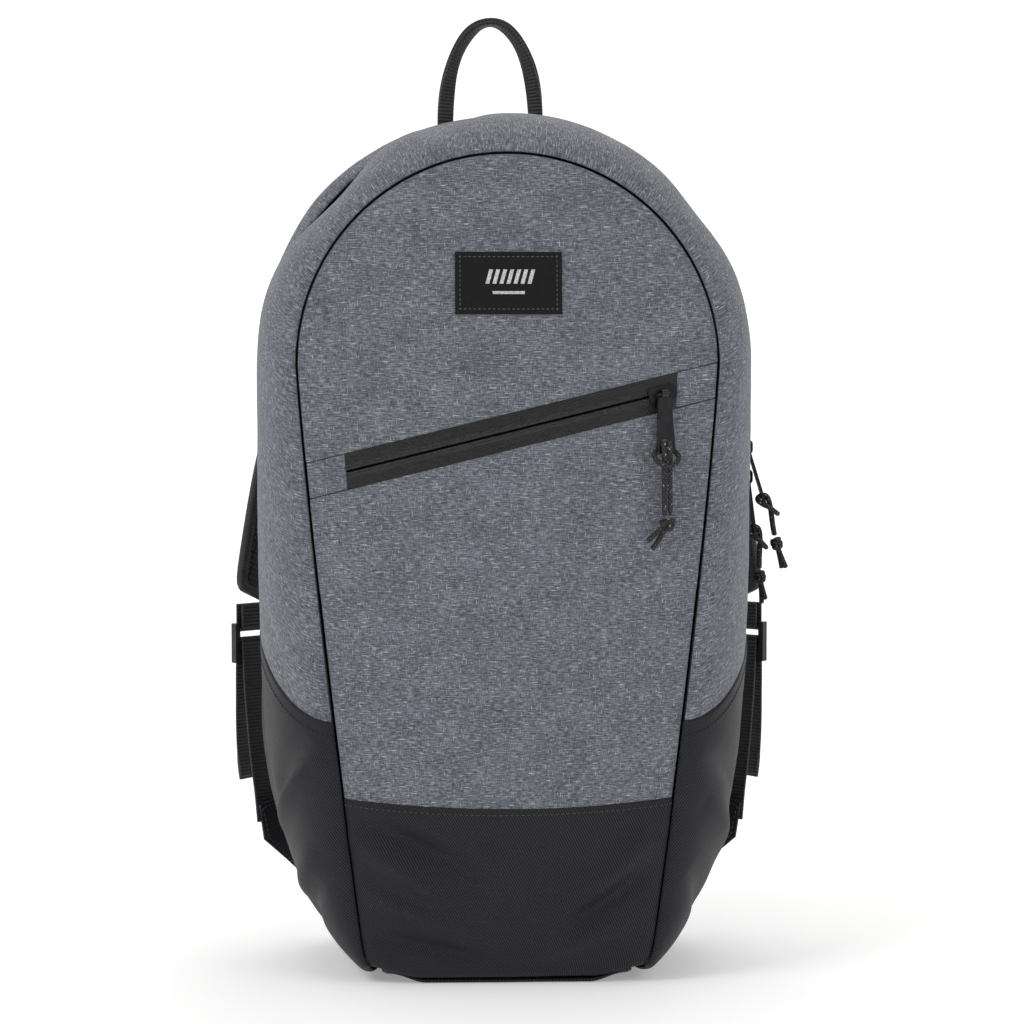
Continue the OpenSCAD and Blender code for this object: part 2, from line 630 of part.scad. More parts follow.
// Ladder lock: a flat frame with three bars, its top bar in the strap's loop.
lock_w = web_w + 8;
lock_t = 4;
bar_t = 3;
lock_y = 4;
lock_z = -23;                    // the middle bar
bar_up = 9.5;
lip_down = 9;
module lock_frame() {
    color(black) at_strap_end() translate([0, lock_y, lock_z]) union() {
        for (side = [-1, 1]) translate([side * (lock_w / 2 - 1.6) - 1.6, -lock_t / 2, -lip_down - 2])
            cube([3.2, lock_t, lip_down + bar_up + 3.5]);
        for (z = [bar_up, 0]) translate([-lock_w / 2 + 1, 0, z]) rotate([0, 90, 0])
            cylinder(r = bar_t / 2, h = lock_w - 2, $fn = 24);
        // the lower bar is the wide lip that is lifted to let the webbing run
        translate([-lock_w / 2 + 1, -2, -lip_down - 2]) cube([lock_w - 2, 2.8, 3.6]);
    }
}

// A flat strip swept along a path, its width along x.
module strip(path, width, t) {
    n = len(path);
    ups = [for (i = [0 : n - 1]) unit(cross([1, 0, 0], path_tangent(path, i)))];
    side = [width / 2, 0, 0];
    skin([for (i = [0 : n - 1]) [path[i] - side + ups[i] * t / 2, path[i] + side + ups[i] * t / 2]],
        [for (i = [0 : n - 1]) [path[i] - side - ups[i] * t / 2, path[i] + side - ups[i] * t / 2]]);
}

// The short webbing that holds the ladder lock's top bar to the strap's end.
loop_r = bar_t / 2 + 0.25 + web_t / 2;
module ladder_loop() {
    z = lock_z + bar_up;
    path = concat([[0, lock_y - loop_r, -4.5], [0, lock_y - loop_r, z + 3]],
        [for (a = [180 : 30 : 360]) [0, lock_y + loop_r * cos(a), z + loop_r * sin(a)]],
        [[0, lock_y + loop_r, z + 3], [0, lock_y + loop_r, -4.5]]);
    color(black) at_strap_end() strip(path, web_w, web_t);
}

// Webbing: from the wing in the side seam up to the ladder lock, round its middle bar, then the
// free tail.
wrap_r = bar_t / 2 + 0.3 + web_t / 2;
web_foot_z = -122;
web_route = concat([[0, -11.5, web_foot_z], [0, -9, -105], [0, -5.5, -88], [0, -2, -64],
        [0, 0.2, -44], [0, 0.9, lock_z - lip_down], [0, lock_y - wrap_r, lock_z - 4]],
    [for (a = [180 : -30 : 0]) [0, lock_y + wrap_r * cos(a), lock_z + wrap_r * sin(a)]],
    [[0, lock_y + wrap_r + 0.1, lock_z - 6], [0, 7.2, lock_z - 14], [-1, 8.6, -52], [-2, 10, -68],
        [-3, 10.5, -84], [-4, 9.5, -100]]);
module webbing() { color(black) at_strap_end() strip(web_route, web_w, web_t); }

// The wing: a triangle of fabric sewn into the side seam, that takes the webbing's lower end.
wing_t = 1.6;
module webbing_wing() {
    color(black) at_strap_end() translate([0, -11.5 - web_t / 2 - 0.2, 0]) rotate([90, 0, 0])
        linear_extrude(wing_t) polygon([[-13, -106], [12.5, -112], [9, -132], [-13, -150]]);
}

// ---------- haul loop: webbing folded along its length, twisted so that its top lies flat ----------
haul_width = 10;
haul_t = 3;
haul_x = -5;
haul_foot_z = arch_z + back_r + 0.8;
haul_y = back_y + 3;
haul_rows = 18;
function haul_centre(a) = let(h = bag_h + haul_h - haul_foot_z - haul_t / 2)
    [haul_x - haul_w / 2 * cos(a) * (1 - 0.18 * sin(a)), haul_y,
        haul_foot_z + h * pow(sin(a), 0.62)];
function haul_tangent(a) = a < 2 ? [0, 0, 1] : a > 178 ? [0, 0, -1]
    : unit(haul_centre(a + 1) - haul_centre(a - 1));
function haul_row(a, up) = let(t = haul_tangent(a), roll = 68 * pow(sin(a), 0.7),
    side0 = unit([t[2], 0, -t[0]]), side = cos(roll) * side0 + sin(roll) * [0, 1, 0],
    n = cross(side, t)) [for (k = [-1, 1]) haul_centre(a) + k * haul_width / 2 * side
        + up * haul_t / 2 * n];
module haul_loop() {
    as = steps(0, 180, haul_rows);
    color(black) skin([for (a = as) haul_row(a, 1)], [for (a = as) haul_row(a, -1)]);
}

back_panel_cover();
back_panel_foam();
back_panel_lining();
gusset_rear();
gusset_lower(true);  // gusset_lower_left
gusset_lower(false);  // gusset_lower_right
side_black(true);  // side_black_left
side_black(false);  // side_black_right
base_panel();
front_black_panel();
front_panel_lower();
front_panel_middle();
front_panel_upper();
gusset_front();
seam_binding_front();
seam_binding_back();
main_zip_tape_rear();
main_zip_tape_front();
main_zip_coil_rear();
main_zip_coil_front();
pocket_zip_tape_upper();
pocket_zip_tape_lower();
pocket_zip_coil(true);  // pocket_zip_coil_upper
pocket_zip_coil(false);  // pocket_zip_coil_lower
pocket_end_tab_left();
pocket_end_tab_right();
pocket_bag();
label_patch();
at_pocket_slider() slider();  // pocket_slider
at_pocket_tab() knuckle_tab();  // pocket_pull_tab
at_pocket_tab() pull_cord(strand_long);  // pocket_pull_cord
at_pocket_tab() pull_knot(strand_long, 42);  // pocket_pull_knot
at_main_slider(slider_z, false) slider();  // main_slider_upper
at_main_tab(slider_z, upper_swing) crossbar_tab();  // main_pull_tab_upper
at_main_tab(slider_z, upper_swing) pull_cord(strand_short);  // main_pull_cord_upper
at_main_tab(slider_z, upper_swing) pull_knot(strand_short, 0);  // main_pull_knot_upper
at_main_slider(slider_z - slider_pitch, true) slider();  // main_slider_lower
at_main_tab(slider_z - slider_pitch, lower_swing) crossbar_tab();  // main_pull_tab_lower
at_main_tab(slider_z - slider_pitch, lower_swing) pull_cord(strand_short);  // main_pull_cord_lower
at_main_tab(slider_z - slider_pitch, lower_swing) pull_knot(strand_short, 20);  // main_pull_knot_lower
yoke();  // strap_yoke
haul_loop();
left_of(true) strap_cover();  // strap_cover_left
strap_cover();  // strap_cover_right
left_of(true) strap_foam();  // strap_foam_left
strap_foam();  // strap_foam_right
left_of(true) strap_mesh();  // strap_mesh_left
strap_mesh();  // strap_mesh_right
left_of(true) ladder_loop();  // ladder_loop_left
ladder_loop();  // ladder_loop_right
left_of(true) lock_frame();  // ladder_lock_left
lock_frame();  // ladder_lock_right
left_of(true) webbing();  // webbing_left
webbing();  // webbing_right
left_of(true) webbing_wing();  // webbing_wing_left
webbing_wing();  // webbing_wing_right
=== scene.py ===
import math
import bpy
import bmesh
import numpy as np
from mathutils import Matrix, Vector, noise


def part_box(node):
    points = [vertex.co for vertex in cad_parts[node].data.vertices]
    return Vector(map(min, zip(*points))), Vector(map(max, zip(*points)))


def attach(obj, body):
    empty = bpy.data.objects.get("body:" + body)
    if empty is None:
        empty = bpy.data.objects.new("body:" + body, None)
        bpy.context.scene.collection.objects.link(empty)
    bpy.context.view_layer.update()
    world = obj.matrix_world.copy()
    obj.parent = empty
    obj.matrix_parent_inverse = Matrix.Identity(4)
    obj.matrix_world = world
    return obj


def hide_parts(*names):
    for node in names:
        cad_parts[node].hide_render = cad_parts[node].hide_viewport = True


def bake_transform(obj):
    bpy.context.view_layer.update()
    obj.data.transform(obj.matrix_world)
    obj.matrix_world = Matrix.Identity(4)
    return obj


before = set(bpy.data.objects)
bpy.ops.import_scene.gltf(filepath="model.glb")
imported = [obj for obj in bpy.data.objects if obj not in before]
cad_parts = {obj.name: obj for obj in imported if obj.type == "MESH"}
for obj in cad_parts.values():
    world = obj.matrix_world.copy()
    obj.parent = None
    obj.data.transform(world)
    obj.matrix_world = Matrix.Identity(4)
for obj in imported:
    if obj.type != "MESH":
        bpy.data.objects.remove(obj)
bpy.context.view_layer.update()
mm = 0.001

# The bag's main measures, in millimetres
bag = {
    "height": 457, "zipHalf": 132.5, "frontHalf": 109.5, "backHalf": 124, "swell": 12, "lean": 22,
    "tuck": 10, "taper": 0.33, "foldZ": 205, "blackZ": 95, "sideFrontZ": 139, "sideBackZ": 184, "sideCurve": 2.2,
    "pocketZ": 290, "pocketSlope": 13.6, "pocketBand": 18, "pocketZip": 178,
}
backY = (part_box("back_panel_cover")[1][1] / mm) - 1.2
zipY = backY - 46
frontY = backY - 146
archZ = bag["height"] - bag["zipHalf"]
floorZ = 2.0


# ---------- camera and light ----------
cameraSet = {"place": (-0.0628, -1.94, 0.38), "turn": (85.92, 0.0, -2.0), "lens": 126.2}
lightSet = {
    "world": 0.36,
    "key": {"place": (-1.6, -1.3, 1.9), "size": 1.1, "power": 19, "colour": (1.0, 1.0, 1.0)},
    "fill": {"place": (1.6, -1.5, 1.2), "size": 1.6, "power": 9, "colour": (0.97, 0.98, 1.0)},
    "top": {"place": (0.0, 0.1, 2.3), "size": 1.4, "power": 10, "colour": (1.0, 0.97, 0.93)},
    "back": {"place": (0.4, 1.9, 1.5), "size": 1.4, "power": 10, "colour": (1.0, 1.0, 1.0)},
}


def linkObject(name, data):
    made = bpy.data.objects.new(name, data)
    bpy.context.scene.collection.objects.link(made)
    return made


def setCamera():
    data = bpy.data.cameras.new("camera")
    data.lens = cameraSet["lens"]
    data.sensor_width = 36
    data.clip_end = 50
    made = linkObject("camera", data)
    made.location = cameraSet["place"]
    made.rotation_euler = [math.radians(a) for a in cameraSet["turn"]]
    bpy.context.scene.camera = made


def setLights():
    world = bpy.data.worlds.new("studio")
    world.use_nodes = True
    world.node_tree.nodes["Background"].inputs[0].default_value = (1.0, 1.0, 1.0, 1.0)
    world.node_tree.nodes["Background"].inputs[1].default_value = lightSet["world"]
    bpy.context.scene.world = world
    for name in ("key", "fill", "top", "back"):
        one = lightSet[name]
        data = bpy.data.lights.new(name, "AREA")
        data.size, data.energy, data.color = one["size"], one["power"], one["colour"]
        made = linkObject(name, data)
        made.location = one["place"]
        made.rotation_euler = (Vector((0, 0, 0.22)) - Vector(one["place"])).to_track_quat("-Z", "Y").to_euler()
    bpy.context.scene.view_settings.view_transform = "Standard"


setCamera()
setLights()
print("camera and lights set")


# ---------- mesh helpers ----------
def unitRows(v):
    return v / np.maximum(np.linalg.norm(v, axis=-1, keepdims=True), 1e-12)


def solidVolume(verts, faces):
    total = 0.0
    for f in faces:
        a = verts[f[0]]
        for k in range(1, len(f) - 1):
            total += np.dot(a, np.cross(verts[f[k]], verts[f[k + 1]]))
    return total / 6


# A closed mesh from points in millimetres; faces are turned outwards. uvs are metres of cloth.
def makePiece(name, verts, faces, uvs, materials, indices=None, smooth=True):
    verts = np.asarray(verts, float)
    if solidVolume(verts - verts.mean(axis=0), faces) < 0:
        faces = [tuple(reversed(f)) for f in faces]
    mesh = bpy.data.meshes.new(name)
    mesh.from_pydata([tuple(v) for v in verts * mm], [], [tuple(int(i) for i in f) for f in faces])
    layer = mesh.uv_layers.new(name="cloth")
    loopVerts = np.empty(len(mesh.loops), int)
    mesh.loops.foreach_get("vertex_index", loopVerts)
    layer.data.foreach_set("uv", (np.asarray(uvs, float)[loopVerts] * mm).ravel())
    for m in materials:
        mesh.materials.append(m)
    if indices is not None:
        mesh.polygons.foreach_set("material_index", np.asarray(indices, np.int32))
    mesh.polygons.foreach_set("use_smooth", [smooth] * len(mesh.polygons))
    work = bmesh.new()
    work.from_mesh(mesh)
    bmesh.ops.remove_doubles(work, verts=work.verts, dist=2e-6)
    bmesh.ops.dissolve_degenerate(work, dist=2e-6, edges=work.edges)
    work.to_mesh(mesh)
    work.free()
    mesh.update()
    return linkObject(name, mesh)


# Normals of a grid of points, on the side of the given rough normals.
def gridNormals(points, rough):
    du = np.gradient(points, axis=0)
    dv = np.gradient(points, axis=1)
    n = unitRows(np.cross(du, dv))
    flip = np.sign(np.sum(n * rough, axis=-1, keepdims=True))
    flip[flip == 0] = 1
    n = n * flip
    bad = ~np.isfinite(n).all(axis=-1) | (np.linalg.norm(n, axis=-1) < 0.5)
    n[bad] = rough[bad]
    return n


# A sheet of cloth with thickness: outer face material 0, inner face 1, and 2 on the seam edges that the mask
# marks, which are painted dark as the shadow in the seam's valley.
def clothSheet(name, points, rough, uv, thick, materials, seamShade=None):
    n, m = points.shape[:2]
    inner = points - gridNormals(points, rough) * thick
    verts = np.concatenate([points.reshape(-1, 3), inner.reshape(-1, 3)])
    uvs = np.concatenate([uv.reshape(-1, 2), uv.reshape(-1, 2)])
    o = n * m
    faces, indices = [], []
    for i in range(n - 1):
        for j in range(m - 1):
            a, b, c, d = i * m + j, i * m + j + 1, (i + 1) * m + j + 1, (i + 1) * m + j
            faces.append((a, b, c, d))
            indices.append(2 if seamShade is not None and seamShade[i, j] and seamShade[i + 1, j + 1] else 0)
            faces.append((o + a, o + d, o + c, o + b))
            indices.append(1)
    loop = [(0, j) for j in range(m)] + [(i, m - 1) for i in range(1, n)]
    loop += [(n - 1, j) for j in range(m - 2, -1, -1)] + [(i, 0) for i in range(n - 2, 0, -1)]
    ids = [i * m + j for i, j in loop]
    for k in range(len(ids)):
        a, b = ids[k], ids[(k + 1) % len(ids)]
        faces.append((b, a, o + a, o + b))
        indices.append(2 if seamShade is not None and seamShade[a // m, a % m] and seamShade[b // m, b % m] else 0)
    return makePiece(name, verts, faces, uvs, materials, indices)


# A profile swept along rows of centres, with a side and an up direction for each row.
def sweepPiece(name, centres, sides, ups, profile, materials, ring=False, smooth=True):
    centres, sides, ups = (np.asarray(v, float) for v in (centres, sides, ups))
    profile = np.asarray(profile, float)
    n = len(centres)
    if profile.ndim == 2:
        profile = np.repeat(profile[None], n, axis=0)
    m = profile.shape[1]
    verts = centres[:, None] + profile[..., 0:1] * sides[:, None] + profile[..., 1:2] * ups[:, None]
    steps = np.linalg.norm(np.diff(centres, axis=0), axis=1)
    along = np.concatenate([[0], np.cumsum(steps)])
    around = np.concatenate([[0], np.cumsum(np.linalg.norm(np.diff(profile[n // 2], axis=0), axis=1))])
    uvs = np.stack(np.meshgrid(along, around, indexing="ij"), axis=-1).reshape(-1, 2)
    verts = verts.reshape(-1, 3)
    faces = []
    for i in range(n if ring else n - 1):
        for k in range(m):
            i2, k2 = (i + 1) % n, (k + 1) % m
            faces.append((i * m + k, i * m + k2, i2 * m + k2, i2 * m + k))
    if not ring:
        faces += [tuple(range(m - 1, -1, -1)), tuple((n - 1) * m + k for k in range(m))]
    return makePiece(name, verts, faces, uvs, materials, None, smooth)


def carriedFrames(path, first=(0.0, 1.0, 0.03)):
    path = np.asarray(path, float)
    tangents = unitRows(np.gradient(path, axis=0))
    last = np.array(first, float)
    sides = []
    for t in tangents:
        last = last - np.dot(last, t) * t
        last = last / np.linalg.norm(last)
        sides.append(last)
    sides = np.array(sides)
    return sides, np.cross(tangents, sides)


def circleProfile(r, sides=12):
    return [(r * math.cos(a), r * math.sin(a)) for a in np.linspace(0, 2 * math.pi, sides, endpoint=False)]


# A flat strip's outline with rounded edges.
def webProfile(width, thick, bulge=0.0, columns=9):
    half, h = width / 2, thick / 2
    top = [(x, h + bulge * (1 - (x / half) ** 2)) for x in np.linspace(-half + h, half - h, columns)]
    right = [(half - h + h * math.cos(a), h * math.sin(a))
             for a in np.linspace(math.pi / 2, -math.pi / 2, 7)[1:-1]]
    return top + right + [(-x, -y) for x, y in top] + [(-x, -y) for x, y in right]


# A round tube with softly closed ends.
def tubePiece(name, path, r, materials, sides=12, first=(0.0, 1.0, 0.03)):
    path = np.asarray(path, float)
    side, up = carriedFrames(path, first)
    start = path[0] - unitRows(path[1] - path[0]) * r * np.array([[0.5], [0.3], [0.0]])
    end = path[-1] + unitRows(path[-1] - path[-2]) * r * np.array([[0.0], [0.3], [0.5]])
    centres = np.concatenate([start, path[1:-1], end])
    side = np.concatenate([np.repeat(side[:1], 3, 0), side[1:-1], np.repeat(side[-1:], 3, 0)])
    up = np.concatenate([np.repeat(up[:1], 3, 0), up[1:-1], np.repeat(up[-1:], 3, 0)])
    scale = np.ones(len(centres))
    scale[[0, 1, -2, -1]] = (0.45, 0.85, 0.85, 0.45)
    profile = np.array(circleProfile(r, sides))[None] * scale[:, None, None]
    return sweepPiece(name, centres, side, up, profile, materials)


def splinePath(points, per):
    p = np.asarray(points, float)
    out = []
    for i in range(len(p) - 1):
        a, b, c, d = p[max(i - 1, 0)], p[i], p[i + 1], p[min(i + 2, len(p) - 1)]
        for k in range(per):
            t = k / per
            out.append(0.5 * (2 * b + (c - a) * t + (2 * a - 5 * b + 4 * c - d) * t * t
                              + (3 * b - a - 3 * c + d) * t ** 3))
    out.append(p[-1])
    return np.array(out)


def spread(n, crowd=0.85):
    t = np.linspace(0, 1, n)
    return t - crowd * np.sin(2 * math.pi * t) / (2 * math.pi)


def smoothStep(x):
    c = np.clip(x, 0, 1)
    return c * c * (3 - 2 * c)


# Soft noise over points in millimetres, about -1 to 1.
def softNoise(points, size, seed, stretch=(1, 1, 1)):
    flatPoints = (points.reshape(-1, 3) / size / np.array(stretch)) + seed * 17.3
    return np.array([noise.noise(Vector(p)) for p in flatPoints]).reshape(points.shape[:-1])


# Height of a soft crease from a to b: it is strongest in the middle and fades out at both ends.
def crease(points, a, b, width, height):
    a, b = np.array(a, float), np.array(b, float)
    t = np.clip(((points - a) @ (b - a)) / np.dot(b - a, b - a), 0, 1)
    away = np.linalg.norm(points - (a + t[..., None] * (b - a)), axis=-1)
    return height * np.exp(-(away / width) ** 2) * np.sin(math.pi * np.clip(t, 0.03, 0.97)) ** 0.7


# Distance below a rolled edge: a quarter round of the given size.
def rolledEdge(distance, size, drop):
    x = np.clip(1 - distance / size, 0, 1)
    return drop * (1 - np.sqrt(np.maximum(0, 1 - x * x)))


# ---------- the bag's surface, as in the solid model ----------
def dropAt(z):
    return np.clip((archZ - z) / (archZ * 1.015), 0, 1)


def sideShare(z):
    return (1 - dropAt(z) ** 4) ** (1 / 3.8)


def frontShare(z):
    return (1 - bag["taper"] * dropAt(z) ** 1.15) * np.maximum(0, 1 - dropAt(z) ** 60) ** (1 / 3)


def frontSeamY(z):
    lean = np.clip((z - 0.4 * bag["height"]) / (0.6 * bag["height"]), 0, None)
    return frontY + bag["lean"] * lean ** 2 + bag["tuck"] * np.clip(1 - z / 100, 0, None) ** 2


def zOf(q):
    return archZ * np.maximum(0, 1 + q) ** 1.5


def qOf(z):
    return (z / archZ) ** (1 / 1.5) - 1


def bandPoint(q, w):
    q, w = np.broadcast_arrays(np.asarray(q, float), np.asarray(w, float))
    mirror = q > 1
    qq = np.where(mirror, 2 - q, q)
    rear = w < 1
    e = np.where(rear, np.sin(math.pi / 2 * w), np.cos(math.pi / 2 * (w - 1)))
    zLow = zOf(np.minimum(qq, 0))
    otherLow = np.where(rear, bag["backHalf"] * sideShare(zLow), bag["frontHalf"] * frontShare(zLow))
    xLow = e * bag["zipHalf"] * sideShare(zLow) + (1 - e) * otherLow
    r = e * bag["zipHalf"] + (1 - e) * np.where(rear, bag["backHalf"], bag["frontHalf"])
    angle = math.pi / 2 * np.maximum(qq, 0)
    low = qq < 0
    x = np.where(low, xLow, r * np.cos(angle))
    z = np.where(low, zLow, archZ + r * np.sin(angle))
    y = np.where(rear, backY + (zipY - backY) * w,
                 zipY + (frontSeamY(z) - zipY) * np.sin(math.pi / 2 * (w - 1)))
    return np.stack([np.where(mirror, -x, x), y, z], axis=-1)


def bandNormal(q, w):
    d = 0.002
    wc = np.clip(w, d, 2 - d)
    across = bandPoint(np.minimum(q + d, 3), wc) - bandPoint(np.maximum(q - d, -1), wc)
    deep = bandPoint(q, wc + d) - bandPoint(q, wc - d)
    return unitRows(np.cross(across, deep))


def faceHalf(z):
    return np.where(z >= archZ, bag["frontHalf"], bag["frontHalf"] * frontShare(z))


def facePoint(s, z):
    r = np.where(z > archZ, np.sqrt(s * s + ((z - archZ) / bag["frontHalf"]) ** 2), np.abs(s))
    u = np.clip((archZ - z) / archZ, 0, None)
    dome = (1 - np.minimum(1, r) ** 2) * (1 - np.minimum(1, u) ** 8)
    return np.stack([s * faceHalf(z), frontSeamY(z) - bag["swell"] * dome, z + 0 * s], axis=-1)


def faceNormal(s, z):
    d = 0.01
    sc = np.clip(s, d - 1, 1 - d)
    return unitRows(np.cross(facePoint(sc, z + 0.5) - facePoint(sc, z - 0.5),
                             facePoint(sc - d, z) - facePoint(sc + d, z)))


def wFront(distance):
    return 1 + np.arcsin(distance / 100) / (math.pi / 2)


def wRear(distance):
    return 1 - distance / 46


def sideBlackZ(w):
    f = np.where(w < 1, w * 46, 46 + 100 * np.sin(math.pi / 2 * (np.maximum(w, 1) - 1))) / 146
    return bag["sideBackZ"] + (bag["sideFrontZ"] - bag["sideBackZ"]) * f ** bag["sideCurve"]


def blackEdgeZ(s):
    return bag["blackZ"] + 4 * s * s


def pocketLineZ(s, off):
    slope = math.radians(bag["pocketSlope"])
    return bag["pocketZ"] + s * bag["frontHalf"] * 0.985 * math.tan(slope) + off / math.cos(slope)


def archTopZ(s):
    return archZ + bag["frontHalf"] * np.sqrt(np.maximum(0, 1 - s * s))


# ---------- materials ----------
def addNode(tree, kind, links=None, **settings):
    made = tree.nodes.new(kind)
    for key, value in settings.items():
        setattr(made, key, value)
    for key, value in (links or {}).items():
        if isinstance(value, bpy.types.NodeSocket):
            tree.links.new(value, made.inputs[key])
        else:
            made.inputs[key].default_value = value
    return made


def newMaterial(name, rough, **constants):
    made = bpy.data.materials.new(name)
    made.use_nodes = True
    shader = made.node_tree.nodes["Principled BSDF"]
    shader.inputs["Roughness"].default_value = rough
    for key, value in constants.items():
        shader.inputs[key.replace("_", " ")].default_value = value
    return made, made.node_tree, shader


def clothPlace(tree):
    return addNode(tree, "ShaderNodeUVMap", uv_map="cloth").outputs[0]


def objectPlace(tree):
    return addNode(tree, "ShaderNodeTexCoord").outputs["Object"]


# Noise with its own stretch: perMetre is how many grains lie along each axis in a metre.
def grain(tree, place, perMetre, detail=1.0, rough=0.5):
    scaled = addNode(tree, "ShaderNodeMapping", {"Vector": place, "Scale": perMetre})
    return addNode(tree, "ShaderNodeTexNoise", {"Vector": scaled.outputs[0], "Scale": 1.0, "Detail": detail,
                                                "Roughness": rough}).outputs[0]


# Parallel ribs: pitch in metres, turned by an angle in the cloth's plane.
def ribs(tree, place, pitch, angle, waver=0.0):
    turned = addNode(tree, "ShaderNodeMapping", {"Vector": place, "Rotation": (0, 0, angle)})
    return addNode(tree, "ShaderNodeTexWave", {"Vector": turned.outputs[0], "Scale": 0.31416 / pitch,
                                               "Distortion": waver, "Detail": 1.0, "Detail Scale": 1.5}).outputs[1]


def blended(tree, parts):
    total = None
    for share, socket in parts:
        if total is None:
            total = addNode(tree, "ShaderNodeMath", {0: socket, 1: share}, operation="MULTIPLY").outputs[0]
        else:
            total = addNode(tree, "ShaderNodeMath", {0: socket, 1: share, 2: total},
                            operation="MULTIPLY_ADD").outputs[0]
    return total


def ramp(tree, value, stops):
    made = addNode(tree, "ShaderNodeValToRGB", {0: value})
    band = made.color_ramp
    while len(band.elements) < len(stops):
        band.elements.new(0.5)
    for element, (place, colour) in zip(band.elements, stops):
        element.position = place
        element.color = (*colour, 1) if len(colour) == 3 else colour
    return made.outputs[0]


def mixed(tree, factor, a, b):
    made = addNode(tree, "ShaderNodeMix", data_type="RGBA")
    tree.links.new(factor, made.inputs[0])
    tree.links.new(a, made.inputs[6])
    if isinstance(b, bpy.types.NodeSocket):
        tree.links.new(b, made.inputs[7])
    else:
        made.inputs[7].default_value = (*b, 1)
    return made.outputs[2]


def bumped(tree, shader, height, distance, strength):
    made = addNode(tree, "ShaderNodeBump", {"Height": height, "Distance": distance, "Strength": strength})
    tree.links.new(made.outputs[0], shader.inputs["Normal"])


def tinted(colour, k):
    return tuple(c * k for c in colour)


heatherSet = {"base": (0.119, 0.128, 0.152), "dark": 0.42, "light": 2.0, "fleck": (0.62, 0.63, 0.66)}


# Heathered plain weave: pale and dark yarns lie mostly across, with some upwards.
def heatherMaterial():
    made, tree, shader = newMaterial("greyHeather", 0.86, Sheen_Weight=0.10, Sheen_Roughness=0.6)
    place = clothPlace(tree)
    weft = grain(tree, place, (240, 1650, 1), 2.0, 0.6)
    warp = grain(tree, place, (1600, 340, 1), 2.0, 0.6)
    thread = grain(tree, place, (1500, 1500, 1), 1.0)
    cloud = grain(tree, place, (38, 60, 1), 3.0, 0.6)
    value = blended(tree, [(0.50, weft), (0.24, warp), (0.14, thread), (0.12, cloud)])
    base = heatherSet["base"]
    colour = ramp(tree, value, [(0.41, tinted(base, heatherSet["dark"])), (0.5, base),
                                (0.59, tinted(base, heatherSet["light"]))])
    slub = grain(tree, place, (170, 1500, 1), 1.0)
    slubs = ramp(tree, slub, [(0.63, (0, 0, 0)), (0.75, (0.70, 0.70, 0.70))])
    upSlub = grain(tree, place, (1500, 260, 1), 1.0)
    upSlubs = ramp(tree, upSlub, [(0.64, (0, 0, 0)), (0.74, (0.5, 0.5, 0.5))])
    colour = mixed(tree, slubs, colour, heatherSet["fleck"])
    colour = mixed(tree, upSlubs, colour, heatherSet["fleck"])
    tree.links.new(colour, shader.inputs["Base Color"])
    bumped(tree, shader, value, 0.0006, 0.6)
    return made


blackSet = {"base": (0.0095, 0.0095, 0.0115), "light": (0.040, 0.041, 0.048), "pitch": 0.00145, "angle": -0.62}


# Black bag cloth: a fine diagonal twill with a slight shine on its ribs.
def twillMaterial(name="blackTwill", angle=None):
    made, tree, shader = newMaterial(name, 0.55, Specular_IOR_Level=0.22)
    place = clothPlace(tree)
    line = ribs(tree, place, blackSet["pitch"], blackSet["angle"] if angle is None else angle, 0.8)
    cross = grain(tree, place, (900, 900, 1), 1.0)
    cloud = grain(tree, place, (30, 30, 1), 3.0)
    value = blended(tree, [(0.62, line), (0.25, cross), (0.13, cloud)])
    colour = ramp(tree, value, [(0.22, tinted(blackSet["base"], 0.7)), (0.5, blackSet["base"]),
                                (0.85, blackSet["light"])])
    tree.links.new(colour, shader.inputs["Base Color"])
    bumped(tree, shader, value, 0.0004, 0.5)
    return made


def liningMaterial():
    made, tree, shader = newMaterial("greyLining", 0.7, Sheen_Weight=0.05)
    place = clothPlace(tree)
    a = ribs(tree, place, 0.0011, 0.0)
    b = ribs(tree, place, 0.0011, math.pi / 2)
    value = blended(tree, [(0.38, a), (0.38, b), (0.24, grain(tree, place, (60, 60, 1), 3.0))])
    colour = ramp(tree, value, [(0.2, (0.13, 0.135, 0.145)), (0.7, (0.23, 0.235, 0.25))])
    tree.links.new(colour, shader.inputs["Base Color"])
    bumped(tree, shader, value, 0.0003, 0.4)
    return made


# Spacer mesh: rows of small holes set off from each other.
def meshMaterial():
    made, tree, shader = newMaterial("spacerMesh", 0.8, Sheen_Weight=0.1)
    place = clothPlace(tree)
    cells = addNode(tree, "ShaderNodeTexVoronoi", {"Vector": place, "Scale": 430.0, "Randomness": 0.12})
    yarn = ramp(tree, cells.outputs[0], [(0.18, (0.042, 0.043, 0.048)), (0.42, (0.008, 0.008, 0.009))])
    shade = ramp(tree, grain(tree, place, (50, 50, 1), 3.0), [(0.4, (0, 0, 0)), (0.7, (0.35, 0.35, 0.35))])
    tree.links.new(mixed(tree, shade, yarn, (0.02, 0.02, 0.023)), shader.inputs["Base Color"])
    bumped(tree, shader, yarn, 0.0008, 0.8)
    return made


# Coated zip tape: glossy black with the coil's ridges showing through.
def coatedMaterial():
    made, tree, shader = newMaterial("coatedTape", 0.22, Specular_IOR_Level=0.5)
    place = clothPlace(tree)
    speckle = grain(tree, place, (1300, 1100, 1), 2.0)
    soft = grain(tree, place, (160, 260, 1), 2.0)
    value = blended(tree, [(0.55, speckle), (0.45, soft)])
    colour = ramp(tree, value, [(0.35, (0.002, 0.002, 0.0025)), (0.62, (0.007, 0.007, 0.0085))])
    tree.links.new(colour, shader.inputs["Base Color"])
    bumped(tree, shader, value, 0.0009, 0.85)
    return made


def coilMaterial():
    made, tree, shader = newMaterial("zipCoil", 0.32)
    place = objectPlace(tree)
    value = grain(tree, place, (900, 900, 900), 1.0)
    tree.links.new(ramp(tree, value, [(0.35, (0.010, 0.010, 0.011)), (0.7, (0.03, 0.03, 0.033))]),
                   shader.inputs["Base Color"])
    bumped(tree, shader, value, 0.0002, 0.3)
    return made


